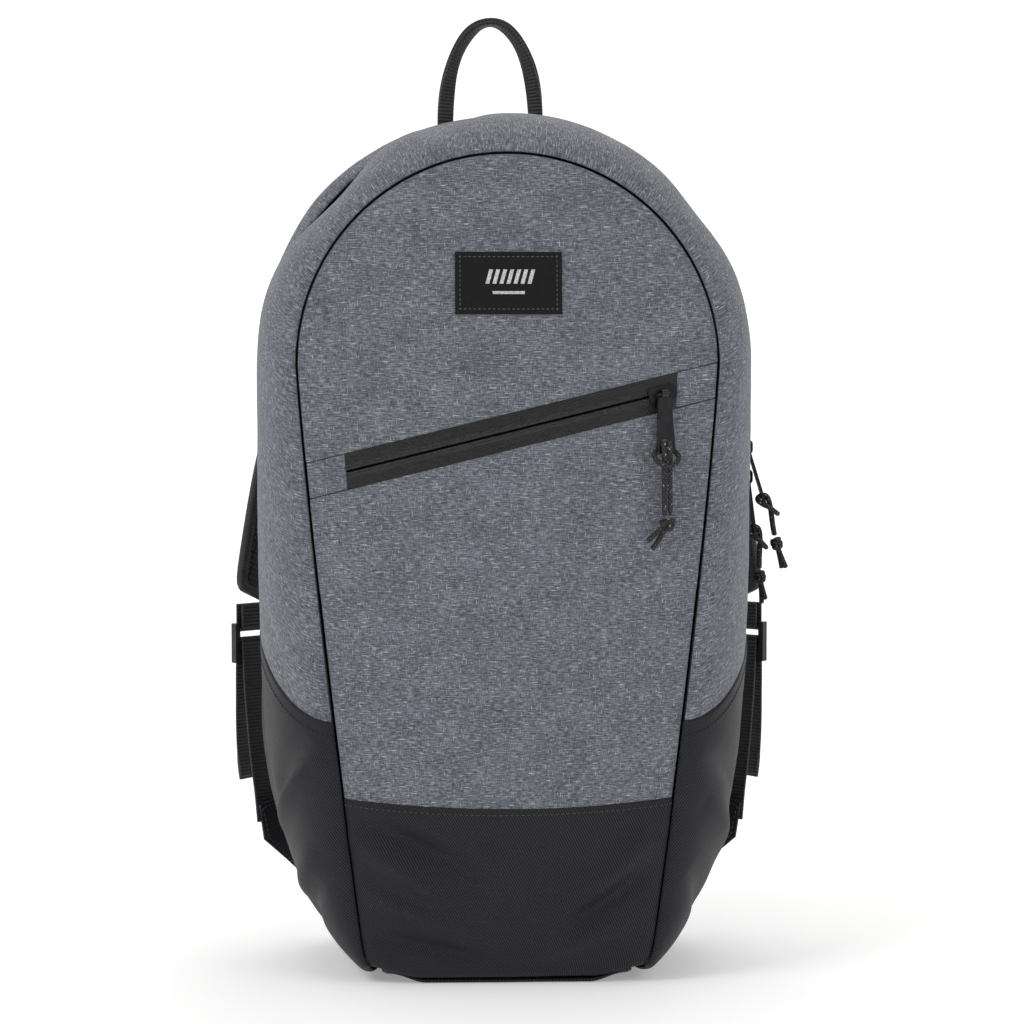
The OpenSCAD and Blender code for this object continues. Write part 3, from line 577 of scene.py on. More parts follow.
# Gloss black metal with a faint smear.
def metalMaterial():
    made, tree, shader = newMaterial("blackMetal", 0.20, Specular_IOR_Level=0.42)
    place = objectPlace(tree)
    smear = grain(tree, place, (240, 240, 240), 3.0, 0.6)
    fine = grain(tree, place, (2400, 2400, 2400), 1.0)
    colour = ramp(tree, smear, [(0.35, (0.006, 0.006, 0.007)), (0.7, (0.014, 0.014, 0.016))])
    tree.links.new(colour, shader.inputs["Base Color"])
    bumped(tree, shader, blended(tree, [(0.6, smear), (0.4, fine)]), 0.0002, 0.25)
    return made


# Braided cord: crossing strands with pale flecks.
def cordMaterial():
    made, tree, shader = newMaterial("braidedCord", 0.7)
    place = clothPlace(tree)
    left = ribs(tree, place, 0.0016, 0.85)
    right = ribs(tree, place, 0.0016, -0.85)
    weave = addNode(tree, "ShaderNodeMath", {0: left, 1: right}, operation="MULTIPLY").outputs[0]
    colour = ramp(tree, weave, [(0.1, (0.008, 0.008, 0.009)), (0.55, (0.048, 0.045, 0.042))])
    fleck = grain(tree, place, (420, 620, 1), 0.0)
    flecks = ramp(tree, fleck, [(0.64, (0, 0, 0)), (0.70, (1, 1, 1))])
    flecks = addNode(tree, "ShaderNodeMath", {0: flecks, 1: weave}, operation="MULTIPLY").outputs[0]
    tree.links.new(mixed(tree, flecks, colour, (0.55, 0.54, 0.50)), shader.inputs["Base Color"])
    bumped(tree, shader, weave, 0.0005, 0.8)
    return made


# Ribbed webbing: the ribs run across, the yarns along.
def webbingMaterial(name="blackWebbing", pitch=0.0019, tone=1.0):
    made, tree, shader = newMaterial(name, 0.6, Sheen_Weight=0.1)
    place = clothPlace(tree)
    across = ribs(tree, place, pitch, 0.0, 0.3)
    yarn = grain(tree, place, (500, 1500, 1), 1.0)
    value = blended(tree, [(0.68, across), (0.32, yarn)])
    colour = ramp(tree, value, [(0.15, tinted((0.005, 0.005, 0.006), tone)),
                                (0.8, tinted((0.030, 0.030, 0.034), tone))])
    tree.links.new(colour, shader.inputs["Base Color"])
    bumped(tree, shader, value, 0.0006, 0.7)
    return made


def plasticMaterial():
    made, tree, shader = newMaterial("blackPlastic", 0.42)
    place = objectPlace(tree)
    pits = grain(tree, place, (1700, 1700, 1700), 2.0)
    scuff = grain(tree, place, (160, 160, 160), 3.0)
    colour = ramp(tree, scuff, [(0.35, (0.013, 0.013, 0.014)), (0.7, (0.024, 0.024, 0.026))])
    tree.links.new(colour, shader.inputs["Base Color"])
    bumped(tree, shader, pits, 0.0003, 0.35)
    return made


# Woven label cloth, finer than the rest.
def labelMaterial():
    made, tree, shader = newMaterial("labelCloth", 0.66, Specular_IOR_Level=0.2)
    place = clothPlace(tree)
    value = blended(tree, [(0.3, ribs(tree, place, 0.0007, 0.0)), (0.3, ribs(tree, place, 0.0007, math.pi / 2)),
                           (0.4, grain(tree, place, (300, 300, 1), 2.0))])
    tree.links.new(ramp(tree, value, [(0.3, (0.004, 0.004, 0.0045)), (0.7, (0.011, 0.011, 0.012))]),
                   shader.inputs["Base Color"])
    bumped(tree, shader, value, 0.0003, 0.4)
    return made


def threadMaterial(name, colour):
    made, tree, shader = newMaterial(name, 0.6)
    value = grain(tree, objectPlace(tree), (1800, 1800, 1800), 1.0)
    tree.links.new(ramp(tree, value, [(0.35, tinted(colour, 0.6)), (0.65, tinted(colour, 1.3))]),
                   shader.inputs["Base Color"])
    bumped(tree, shader, value, 0.0002, 0.4)
    return made


heather = heatherMaterial()
blackCloth = twillMaterial()
sideCloth = twillMaterial("blackTwillSide", -0.32)
lining = liningMaterial()
spacer = meshMaterial()
coated = coatedMaterial()
coilPlastic = coilMaterial()
metal = metalMaterial()
braid = cordMaterial()
webCloth = webbingMaterial()
bindingCloth = webbingMaterial("blackBinding", 0.0013, 0.9)
plastic = plasticMaterial()
labelCloth = labelMaterial()
blackThread = threadMaterial("blackThread", (0.045, 0.046, 0.052))
greyThread = threadMaterial("greyThread", (0.10, 0.105, 0.11))
paleThread = threadMaterial("paleThread", (0.70, 0.70, 0.72))
# Very dark: the painted shadow in the seam valleys along the cloth edges, and also the side stitches' dark thread.
seamShadowAndDarkThread = threadMaterial("seamShadowAndDarkThread", (0.006, 0.006, 0.007))
print("materials made")


# ---------- repeated stitches and teeth ----------
# Small rounded grains along every line of a mesh, turned to the line and to its "across" direction.
def rowTree():
    tree = bpy.data.node_groups.new("rowsAlongPath", "GeometryNodeTree")
    face = tree.interface
    face.new_socket("Path", in_out="INPUT", socket_type="NodeSocketGeometry")
    for name, value in (("Spacing", 0.003), ("Along", 0.002), ("Across", 0.0008), ("Up", 0.0006),
                        ("Unevenness", 0.08)):
        face.new_socket(name, in_out="INPUT", socket_type="NodeSocketFloat").default_value = value
    face.new_socket("Seed", in_out="INPUT", socket_type="NodeSocketInt").default_value = 7
    face.new_socket("Finish", in_out="INPUT", socket_type="NodeSocketMaterial")
    face.new_socket("Rows", in_out="OUTPUT", socket_type="NodeSocketGeometry")
    given = tree.nodes.new("NodeGroupInput")
    curve = addNode(tree, "GeometryNodeMeshToCurve", {0: given.outputs["Path"]})
    points = addNode(tree, "GeometryNodeResampleCurve", {"Curve": curve.outputs[0],
                                                         "Length": given.outputs["Spacing"]}, mode="LENGTH")
    tangent = addNode(tree, "GeometryNodeInputTangent")
    across = addNode(tree, "GeometryNodeInputNamedAttribute", {"Name": "across"}, data_type="FLOAT_VECTOR")
    turn = addNode(tree, "FunctionNodeAlignRotationToVector", {"Vector": tangent.outputs[0]}, axis="X")
    turn = addNode(tree, "FunctionNodeAlignRotationToVector", {"Rotation": turn.outputs[0],
                                                               "Vector": across.outputs[0]},
                   axis="Y", pivot_axis="X")
    size = addNode(tree, "ShaderNodeCombineXYZ", {0: given.outputs["Along"], 1: given.outputs["Across"],
                                                  2: given.outputs["Up"]})
    low = addNode(tree, "ShaderNodeMath", {0: 1.0, 1: given.outputs["Unevenness"]}, operation="SUBTRACT")
    high = addNode(tree, "ShaderNodeMath", {0: 1.0, 1: given.outputs["Unevenness"]}, operation="ADD")
    vary = addNode(tree, "FunctionNodeRandomValue", {2: low.outputs[0], 3: high.outputs[0],
                                                     "Seed": given.outputs["Seed"]}, data_type="FLOAT")
    scaled = addNode(tree, "ShaderNodeVectorMath", {0: size.outputs[0]}, operation="SCALE")
    tree.links.new(vary.outputs[1], scaled.inputs["Scale"])
    bead = addNode(tree, "GeometryNodeMeshIcoSphere", {"Radius": 0.5, "Subdivisions": 1})
    rows = addNode(tree, "GeometryNodeInstanceOnPoints", {"Points": points.outputs[0], "Instance": bead.outputs[0],
                                                          "Rotation": turn.outputs[0], "Scale": scaled.outputs[0]})
    real = addNode(tree, "GeometryNodeRealizeInstances", {0: rows.outputs[0]})
    soft = addNode(tree, "GeometryNodeSetShadeSmooth", {0: real.outputs[0], "Shade Smooth": True})
    done = addNode(tree, "GeometryNodeSetMaterial",
                   {"Geometry": soft.outputs[0], "Material": given.outputs["Finish"]})
    out = tree.nodes.new("NodeGroupOutput")
    tree.links.new(done.outputs[0], out.inputs[0])
    return tree


rows = rowTree()


# paths: a list of (points in mm, across directions); sizes in mm.
def stitchRow(name, paths, spacing, size, finish, body):
    verts, edges, across = [], [], []
    for points, sides in paths:
        start = len(verts)
        verts += [tuple(p) for p in np.asarray(points) * mm]
        sides = np.asarray(sides, float)
        across += [tuple(v) for v in (np.repeat(sides[None], len(points), 0) if sides.ndim == 1 else sides)]
        edges += [(start + i, start + i + 1) for i in range(len(points) - 1)]
    mesh = bpy.data.meshes.new(name + "Line")
    mesh.from_pydata(verts, edges, [])
    vectors = mesh.attributes.new("across", "FLOAT_VECTOR", "POINT").data
    vectors.foreach_set("vector", np.array(across, np.float32).ravel())
    line = linkObject(name + "Line", mesh)
    modifier = line.modifiers.new("rows", "NODES")
    modifier.node_group = rows
    values = {"Spacing": spacing * mm, "Along": size[0] * mm, "Across": size[1] * mm, "Up": size[2] * mm,
              "Finish": finish}
    for socket in rows.interface.items_tree:
        if socket.item_type == "SOCKET" and socket.in_out == "INPUT" and socket.name in values:
            modifier[socket.identifier] = values[socket.name]
    graph = bpy.context.evaluated_depsgraph_get()
    graph.update()
    made = linkObject(name, bpy.data.meshes.new_from_object(line.evaluated_get(graph)))
    made.data.name = name
    if not made.data.materials:
        made.data.materials.append(finish)
    bpy.data.objects.remove(line)
    if body:
        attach(made, body)
    return made


# ---------- pull cords ----------
# Each pull is one cord doubled through its tab's hole and knotted below; its two halves are two cords.
pulls = {
    "pocket": {"pin": (80.1408, -96.3268, 309.3979), "turn": 10.061, "lean": 6, "strand": 13.2, "tails": 42},
    "upper": {"pin": (134.35, 9, 274.2), "swing": 17, "strand": 7.9, "tails": 0},
    "lower": {"pin": (134.35, 9, 258.0), "swing": 7, "strand": 7.9, "tails": 20},
}
cord = {"across": 2.7, "holeZ": -26.6, "knot": 1.8, "tail": 5.2}
hitch = [(0, 1.95, -4.1), (1.1, 1.75, -3.9), (2, 1.2, -3.1), (2.35, 0.4, -2.1), (1.9, -0.6, -1.2),
         (1.15, -1.05, -0.4), (0.56, -0.8, 0.2), (0.56, 0, 0.35), (0.56, 0.75, 0.05), (0.56, 0.98, -0.9),
         (0.56, 0.95, -2), (0.56, 0.8, -3.2), (0.56, 0.55, -4.7)]


def turnX(a):
    c, s = math.cos(math.radians(a)), math.sin(math.radians(a))
    return np.array([[1, 0, 0], [0, c, -s], [0, s, c]])


def turnY(a):
    c, s = math.cos(math.radians(a)), math.sin(math.radians(a))
    return np.array([[c, 0, s], [0, 1, 0], [-s, 0, c]])


def turnZ(a):
    c, s = math.cos(math.radians(a)), math.sin(math.radians(a))
    return np.array([[c, -s, 0], [s, c, 0], [0, 0, 1]])


def tabTurn(pull):
    if "lean" in pull:
        return turnZ(pull["turn"]) @ turnX(-pull["lean"])
    return turnY(-pull["swing"]) @ turnZ(90)


# From a place in cord diameters about the tab's hole to the bag's frame.
def onTab(pull, points):
    p = np.atleast_2d(np.asarray(points, float)) * cord["across"] * np.array([1, -1, 1])
    p[:, 2] += cord["holeZ"]
    return p @ tabTurn(pull).T + np.array(pull["pin"])


# An overhand knot, drawn up tight: a doubled cord that winds round itself.
def knotPath(k, phase, offset):
    t = np.linspace(0, 2 * math.pi, 64) + phase
    x = (np.sin(t) + 2 * np.sin(2 * t)) * 0.40
    z = (np.cos(t) - 2 * np.cos(2 * t)) * 0.33
    y = -np.sin(3 * t) * 0.62
    return np.stack([x + offset[0], y + offset[1], z + k], axis=-1)


def makePull(name, pull, body):
    d = cord["across"]
    knotK = -(pull["strand"] + cord["knot"] + 0.1)
    tail = [(0.56, 0.3, -(4.7 + pull["strand"]) / 2), (0.56, 0.1, -pull["strand"])]
    half = splinePath(hitch + tail, 4)
    knotParts = []
    for i, offset in enumerate(((-0.22, 0.12), (0.22, -0.12))):
        path = onTab(pull, knotPath(knotK, 0.35 * i, offset))
        side, up = carriedFrames(path)
        knotParts.append(sweepPiece(name + "KnotTurn" + str(i), path, side, up, circleProfile(d * 0.47, 10),
                                    [braid], ring=True))
    for side in (-1, 1):
        a = math.radians(pull["tails"] + side * 14)
        way = np.array([-math.sin(a), 0.0, -math.cos(a)])
        bend = np.array([side * 0.5, 0.35 * side, 0.0])
        steps = np.linspace(0.7, cord["tail"], 9)
        path = [(np.array([0, 0, knotK]) + way * k + bend * (k / cord["tail"]) ** 2) for k in steps]
        knotParts.append(tubePiece(name + "Tail" + str(side), onTab(pull, path), d / 2, [braid], 12))
    knot = joined(name + "Knot", knotParts)
    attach(knot, body)
    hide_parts(pull["knotNode"])
    for side, word in ((1, "Near"), (-1, "Far")):
        path = onTab(pull, half * np.array([side, 1, 1]))
        made = tubePiece(name + "Cord" + word, path, d / 2, [braid], 14)
        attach(made, body)
        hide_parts(pull["cordNode"])
    return knot


def joined(name, parts):
    merged = bmesh.new()
    for part in parts:
        merged.from_mesh(part.data)
    mesh = bpy.data.meshes.new(name)
    merged.to_mesh(mesh)
    merged.free()
    for m in parts[0].data.materials:
        mesh.materials.append(m)
    for part in parts:
        bpy.data.objects.remove(part)
    return linkObject(name, mesh)


pulls["pocket"].update(knotNode="pocket_pull_knot", cordNode="pocket_pull_cord")
pulls["upper"].update(knotNode="main_pull_knot_upper", cordNode="main_pull_cord_upper")
pulls["lower"].update(knotNode="main_pull_knot_lower", cordNode="main_pull_cord_lower")
makePull("pocketPull", pulls["pocket"], "pocket_pull")
makePull("upperPull", pulls["upper"], "upper_pull")
makePull("lowerPull", pulls["lower"], "lower_pull")
print("cords made")


# ---------- bag cloth ----------
clothSet = {"thick": 1.2, "seamPinch": 2.6, "seamReach": 2.4, "wrinkle": 0.55}


# Where the slit over the main zip gapes: most on the upper left, a little at the top and the upper right.
def gape(q):
    return (np.exp(-((q - 1.52) / 0.17) ** 2) + 0.42 * np.exp(-((q - 1.14) / 0.09) ** 2)
            + 0.36 * np.exp(-((q - 0.42) / 0.12) ** 2))


# Half width of that slit, in mm: wide by the sliders.
def slitHalf(q):
    z = zOf(np.minimum(q, 0))
    right = np.where(q < 0, smoothStep((z - 207) / 14), 1) * (1 - smoothStep((q - 0.03) / 0.2))
    zLeft = zOf(np.minimum(2 - q, 0))
    closed = np.where(q > 2, smoothStep((zLeft - 200) / 20), 1)
    return 0.25 + closed * (1.1 + 3.4 * gape(q)) * (q > 0) + 4.4 * right * (q <= 0.3)


# How deep the zip's valley lies under the bag's outline: the front side sags more where the slit gapes.
def slitSink(q, front=True):
    arch = smoothStep((q - 0.25) / 0.3) * (1 - smoothStep((q - 2.0) / 0.35))
    return 0.3 + 2.2 * arch + np.where(front, 9.5, 4.6) * gape(q)


# Height of the band's cloth over the plain surface.
def bandLift(q, w, seed):
    y = np.where(w < 1, (1 - w) * 46, 100 * np.sin(math.pi / 2 * (np.maximum(w, 1) - 1)))
    sag = np.cos(math.pi / 2 * np.clip((w - 1) / 0.95, 0, 1)).clip(0) ** 1.3
    opened = np.where(w < 1, 4.6 * np.exp(-(y / 12) ** 2), 9.5 * sag) * gape(q)
    valley = (slitSink(q) - 9.5 * gape(q)) * np.exp(-(y / np.where(w < 1, 13, 17)) ** 2) + opened
    front = np.clip((w - 1) / 1.0, 0, 1)
    puff = np.where(w >= 1, 1.6 * np.sin(math.pi * front) ** 1.3, 1.3 * np.sin(math.pi * np.clip(w, 0, 1)))
    seam = clothSet["seamPinch"] * np.exp(-((2 - w) * 36) / clothSet["seamReach"])
    back = 1.8 * np.exp(-(w * 46) / 2.6)
    points = bandPoint(q, w)
    soft = clothSet["wrinkle"] * softNoise(points, 38, seed) + 0.2 * softNoise(points, 13, seed + 3)
    return puff - valley - seam - back + soft


def bandCloth(name, qLow, qHigh, wLow, wHigh, nq, nw, seed, materials, mirror=False, extra=None, lift=0.0,
              thick=None, edges=(), crowd=0.8):
    v = spread(nw, crowd)[None, :]
    t = spread(nq, 0.5)[:, None]
    w = np.full((nq, nw), 1.0)
    for _ in range(2):      # the limits depend on each other, so they are found twice
        q = qLow(w) + (qHigh(w) - qLow(w)) * t
        w = wLow(q) + (wHigh(q) - wLow(q)) * v
    rough = bandNormal(q, w)
    base = bandPoint(q, w)
    up = bandLift(q, w, seed) + lift
    if extra is not None:
        up = up + extra(base, q, w)
    across = np.linalg.norm(np.diff(base, axis=1), axis=-1)
    j = np.concatenate([np.zeros((nq, 1)), np.cumsum(across, axis=1)], axis=1)
    along = np.linalg.norm(np.diff(base, axis=0), axis=-1)
    i = np.concatenate([np.zeros((1, nw)), np.cumsum(along, axis=0)], axis=0)
    for side, size, depth in edges:
        distance = {"left": j, "right": j[:, -1:] - j, "low": i, "high": i[-1:] - i}[side]
        up = up - rolledEdge(distance, size, depth)
    points = base + rough * up[..., None]
    middle = i[:, nw // 2][:, None] + 0 * j
    uv = np.stack([j - j[:, nw // 2][:, None], middle], axis=-1)
    if mirror:
        points = points * np.array([-1, 1, 1])
        rough = rough * np.array([-1, 1, 1])
    seamShade = None
    if len(materials) > 2:
        # The strip within 0.8 mm of the front seam takes material 2: painted shadow of the seam's valley.
        seamShade = (2 - w) * 36 < 0.8
    return clothSheet(name, points, rough, uv, thick or clothSet["thick"], materials, seamShade)


seamW = 0.003


def blackQ(w):
    return qOf(sideBlackZ(w) - 2.5)


# Front gusset: one cloth over the arch, down to the black side panels on both sides.
gussetFront = bandCloth("gussetFrontCloth", blackQ, lambda w: 2 - blackQ(w), lambda q: wFront(slitHalf(q)),
                        lambda q: 2 - seamW + 0 * q, 330, 44, 3, [heather, lining, seamShadowAndDarkThread],
                        edges=(("left", 1.6, 1.3),))
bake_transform(gussetFront)
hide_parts("gusset_front", "gusset_lower_left", "gusset_lower_right")

# Rear gusset: from the back seam to the slit.
gussetRear = bandCloth("gussetRearCloth", blackQ, lambda w: 2 - blackQ(w), lambda q: 0.004 + 0 * q,
                       lambda q: wRear(slitHalf(q)), 330, 30, 3, [heather, lining],
                       extra=lambda p, q, w: (2.0 * np.exp(-((q - 1.52) / 0.16) ** 2)
                                              * np.exp(-((w - 0.55) / 0.25) ** 2)),
                       edges=(("right", 1.6, 1.3),))
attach(gussetRear, "pack")
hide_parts("gusset_rear")


# Folds of the black side panels: start, end, width and height in mm, on the right side.
sideFolds = {
    "left": [((78, -88, 128), (112, -30, 92), 7.6, -5.0), ((92, -84, 116), (118, -30, 74), 6.8, 3.4),
             ((72, -84, 70), (104, -40, 40), 8.5, 3.7), ((70, -80, 56), (96, -30, 24), 6.0, -3.4),
             ((120, 20, 150), (124, 0, 60), 11.9, 2.5)],
    "right": [((80, -88, 120), (116, -26, 100), 7.6, -3.7), ((88, -84, 96), (120, -20, 62), 8.5, 3.1),
              ((74, -84, 60), (108, -30, 30), 7.6, -3.1), ((122, 24, 140), (124, 4, 50), 11.9, 2.5)],
}


# Folds are placed by their view from one side: distances along the facing axis count little.
def foldSum(p, folds, facing):
    return 1.3 * sum(crease(p * facing, np.array(a) * facing, np.array(b) * facing, width, height)
                     for a, b, width, height in folds)


def foldLift(folds):
    return lambda p, q, w: foldSum(p, folds, np.array([0.2, 1, 1]))


for side, body in (("left", "pack"), ("right", "pack")):
    made = bandCloth("sideBlackCloth" + side.capitalize(), lambda w: qOf(floorZ + 6 * smoothStep((w - 1.4) / 0.6)),
                     lambda w: qOf(sideBlackZ(w) + 0.4), lambda q: 0.004 + 0 * q, lambda q: 2 - seamW + 0 * q,
                     120, 96, 11 if side == "left" else 19, [sideCloth, sideCloth], mirror=side == "left",
                     extra=foldLift(sideFolds[side]), lift=0.9, thick=1.5,
                     edges=(("high", 1.7, 1.4), ("low", 5, 3.0)))
    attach(made, body)
    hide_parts("side_black_" + side)


# ---------- front face cloth ----------
# Height of the face's cloth over the plain surface, from its distance to the side seams.
def faceLift(s, z, points, seed, wrinkle):
    fromSeam = (1 - np.abs(s)) * faceHalf(z)
    above = np.clip((z - archZ) / bag["frontHalf"], 0, 1)
    fromArch = (1 - np.sqrt(s * s + above ** 2)) * bag["frontHalf"]
    distance = np.clip(np.where(z > archZ, fromArch, fromSeam), 0, None)
    pinch = clothSet["seamPinch"] * np.exp(-distance / clothSet["seamReach"])
    soft = wrinkle * softNoise(points, 52, seed, (1.4, 1, 1)) + 0.22 * softNoise(points, 17, seed + 5)
    return soft * np.clip(distance / 12, 0.15, 1) - pinch, distance


def faceCloth(name, low, high, nz, ns, seed, materials, sLow=-0.997, sHigh=0.997, inset=0.0, thick=None,
              edges=(), extra=None, wrinkle=0.6, crowd=0.8, seamShaded=True):
    s = (sLow + (sHigh - sLow) * spread(ns, crowd))[None, :]
    t = spread(nz, crowd)[:, None]
    z = low(s) + (high(s) - low(s)) * t
    s = s + 0 * z
    rough = faceNormal(s, z)
    base = facePoint(s, z)
    up, distance = faceLift(s, z, base, seed, wrinkle)
    up = up - inset
    if extra is not None:
        up = up + extra(base)
    for side, size, depth in edges:
        away = {"low": z - z[:1], "high": z[-1:] - z, "left": (s - s[:, :1]) * faceHalf(z),
                "right": (s[:, -1:] - s) * faceHalf(z)}[side]
        up = up - rolledEdge(away, size, depth)
    points = base + rough * up[..., None]
    uv = np.stack([s * bag["frontHalf"], z], axis=-1)
    # Cloth within 0.6 mm of a seam takes material 2: painted shadow of the seam's valley.
    seamShade = distance < 0.6 if seamShaded and len(materials) > 2 else None
    return clothSheet(name, points, rough, uv, thick or clothSet["thick"], materials, seamShade)


bandHalf = bag["pocketBand"] / 2
greyFolds = [((-60, -95, 150), (10, -103, 190), 26, 0.9), ((70, -95, 150), (20, -103, 235), 24, -0.8),
             ((-95, -88, 250), (-40, -100, 210), 20, 0.8), ((30, -100, 120), (85, -92, 175), 22, 0.7)]
frontLower = faceCloth("frontLowerCloth", lambda s: blackEdgeZ(s) - 2.0,
                       lambda s: pocketLineZ(s, -bandHalf - 0.15), 170, 130, 21, [heather, lining, seamShadowAndDarkThread],
                       edges=(("high", 1.3, 0.9),),
                       extra=lambda p: foldSum(p, greyFolds, np.array([1, 0.1, 1])))
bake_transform(frontLower)
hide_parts("front_panel_lower", "front_panel_middle")

frontUpper = faceCloth("frontUpperCloth", lambda s: pocketLineZ(s, bandHalf + 0.15), lambda s: archTopZ(s) - 0.35,
                       150, 130, 27, [heather, lining, seamShadowAndDarkThread], edges=(("low", 1.3, 0.9),),
                       extra=lambda p: 0.9 * np.exp(-((p[..., 2] - 335) / 26) ** 2 - (p[..., 0] / 60) ** 2))
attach(frontUpper, "flap")
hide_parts("front_panel_upper")

# The bag's lower corners lift off the floor towards the front.
def cornerRise(w, s):
    return 6 * smoothStep((w - 1.4) / 0.6) * smoothStep((np.abs(s) - 0.66) / 0.34)


# The black foot panel, with its folds from the side seams.
footFolds = [((-80, -90, 78), (-28, -100, 44), 6.8, 4.0), ((-74, -88, 88), (-20, -98, 62), 6.0, -3.4),
             ((-72, -86, 48), (-22, -95, 30), 6.0, 3.4), ((-68, -84, 26), (-6, -92, 12), 5.1, -3.1),
             ((78, -90, 84), (34, -100, 40), 7.6, 3.4), ((72, -88, 60), (30, -97, 30), 6.0, -3.1),
             ((66, -85, 34), (10, -92, 16), 6.0, 2.5), ((20, -100, 82), (44, -98, 34), 7.6, -1.9),
             ((-10, -100, 80), (-4, -96, 30), 10.2, 1.6)]
frontBlack = faceCloth("frontFootCloth", lambda s: floorZ + cornerRise(2, s),
                       lambda s: blackEdgeZ(s) + 0.2, 110, 130, 33,
                       [blackCloth, blackCloth, seamShadowAndDarkThread], inset=-0.9, thick=1.5,
                       edges=(("high", 1.8, 1.5), ("low", 6, 3.4)), wrinkle=0.9,
                       extra=lambda p: foldSum(p, footFolds, np.array([1, 0.1, 1])))
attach(frontBlack, "pack")
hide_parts("front_black_panel")
print("bag cloth made")


# ---------- base ----------
def baseCloth():
    w = np.concatenate([np.linspace(0, 1, 10)[:-1], np.linspace(1, 2, 22)])
    edge = bandPoint(qOf(floorZ) + 0 * w, w)
    u = np.linspace(-1, 1, 61)[:, None]
    half = (edge[:, 0] - 1.8)[None]
    x, y = half * u, edge[:, 1][None] * 0.985 + 0 * u
    rise = cornerRise(w[None], u)
    soft = softNoise(np.stack([x, y, 0 * x], axis=-1), 40, 5)
    inside = np.clip((1 - np.abs(u)) * half, 0, None)
    top = np.stack([x, y, 1.7 + rise], axis=-1)
    low = np.stack([x, y, 0.12 + 0.25 * soft * np.clip(inside / 10, 0, 1) + rolledEdge(inside, 1.6, 1.0)], axis=-1)
    low[..., 2] = np.clip(low[..., 2], 0, 1.2) + rise
    n, m = top.shape[:2]
    verts = np.concatenate([low.reshape(-1, 3), top.reshape(-1, 3)])
    uvs = np.concatenate([low.reshape(-1, 3)[:, :2]] * 2)
    o = n * m
    faces, indices = [], []
    for i in range(n - 1):
        for k in range(m - 1):
            a, b, c, d = i * m + k, i * m + k + 1, (i + 1) * m + k + 1, (i + 1) * m + k
            faces += [(a, b, c, d), (o + a, o + d, o + c, o + b)]
            indices += [0, 1]
    loop = [k for k in range(m)] + [i * m + m - 1 for i in range(1, n)]
    loop += [(n - 1) * m + k for k in range(m - 2, -1, -1)] + [i * m for i in range(n - 2, 0, -1)]
    for k in range(len(loop)):
        a, b = loop[k], loop[(k + 1) % len(loop)]
        faces.append((b, a, o + a, o + b))
        indices.append(0)
    made = makePiece("baseCloth", verts, faces, uvs, [blackCloth, blackCloth], indices)
    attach(made, "pack")
    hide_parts("base_panel")


baseCloth()


# ---------- seams inside and stitches outside ----------
def bandStrip(name, wLow, wHigh, qLow, qHigh, inset, thick, finish, n=260, columns=5, sunk=0.0):
    q = np.linspace(qLow, qHigh, n)[:, None]
    v = np.linspace(0, 1, columns)[None]
    w = wLow + (wHigh - wLow) * v + 0 * q
    q = q + 0 * w
    rough = bandNormal(q, w)
    base = bandPoint(q, w)
    up = -inset - sunk * slitSink(q, w >= 1)
    points = base + rough * up[..., None]
    along = np.concatenate([[0], np.cumsum(np.linalg.norm(np.diff(base[:, 0], axis=0), axis=1))])
    across = np.linalg.norm(base[:, -1] - base[:, 0], axis=-1).mean()
    uv = np.stack([along[:, None] + 0 * v, across * v + 0 * q], axis=-1)
    return clothSheet(name, points, rough, uv, thick, [finish, finish])


foldQ = float(qOf(bag["foldZ"] + 1))
inner = bandStrip("seamBindingFront", 1.62, 1.80, foldQ, 2 - foldQ, 3.6, 1.0, bindingCloth)
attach(inner, "flap")
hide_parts("seam_binding_front")
inner = bandStrip("seamBindingBack", 0.25, 0.445, float(qOf(30)), 2 - float(qOf(30)), 3.2, 1.0, bindingCloth)
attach(inner, "pack")
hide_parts("seam_binding_back")


# Stitches that follow the black panels' folded edges.
def edgeStitches():
    front, sides = [], []
    s = np.linspace(-0.985, 0.985, 90)
    z = blackEdgeZ(s) - 3.2
    base = facePoint(s, z)
    up, _ = faceLift(s, z, base, 33, 0.9)
    lifted = base + faceNormal(s, z) * (up + 1.05 + foldSum(base, footFolds, np.array([1, 0.1, 1])))[:, None]
    front.append((lifted, (0, 0, 1)))
    for side in ("left", "right"):
        w = np.linspace(0.06, 1.97, 120)
        q = qOf(sideBlackZ(w) - 7.5)
        base = bandPoint(q, w)
        up = bandLift(q, w, 11 if side == "left" else 19) + 1.05
        up = up + foldLift(sideFolds[side])(base, q, w)
        points = base + bandNormal(q, w) * up[:, None]
        if side == "left":
            points = points * np.array([-1, 1, 1])
        sides.append((points, (0, 0, 1)))
    stitchRow("footStitches", front, 2.9, (2.3, 0.75, 0.75), blackThread, "pack")
    stitchRow("sideStitches", sides, 2.9, (2.3, 0.7, 0.7), seamShadowAndDarkThread, "pack")


edgeStitches()
print("seams and stitches made")


# ---------- main zip ----------
zipSet = {"play": 0.4, "tape": 15, "coil": 1.3, "pitch": 1.6, "tooth": (1.0, 2.6, 1.7)}


def coilPath(w, inset):
    q = np.linspace(foldQ, 2 - foldQ, 420)
    base = bandPoint(q, w + 0 * q)
    normal = bandNormal(q, w + 0 * q)
    along = unitRows(np.gradient(base, axis=0))
    return base - normal * (inset + slitSink(q, w > 1))[:, None], np.cross(normal, along)


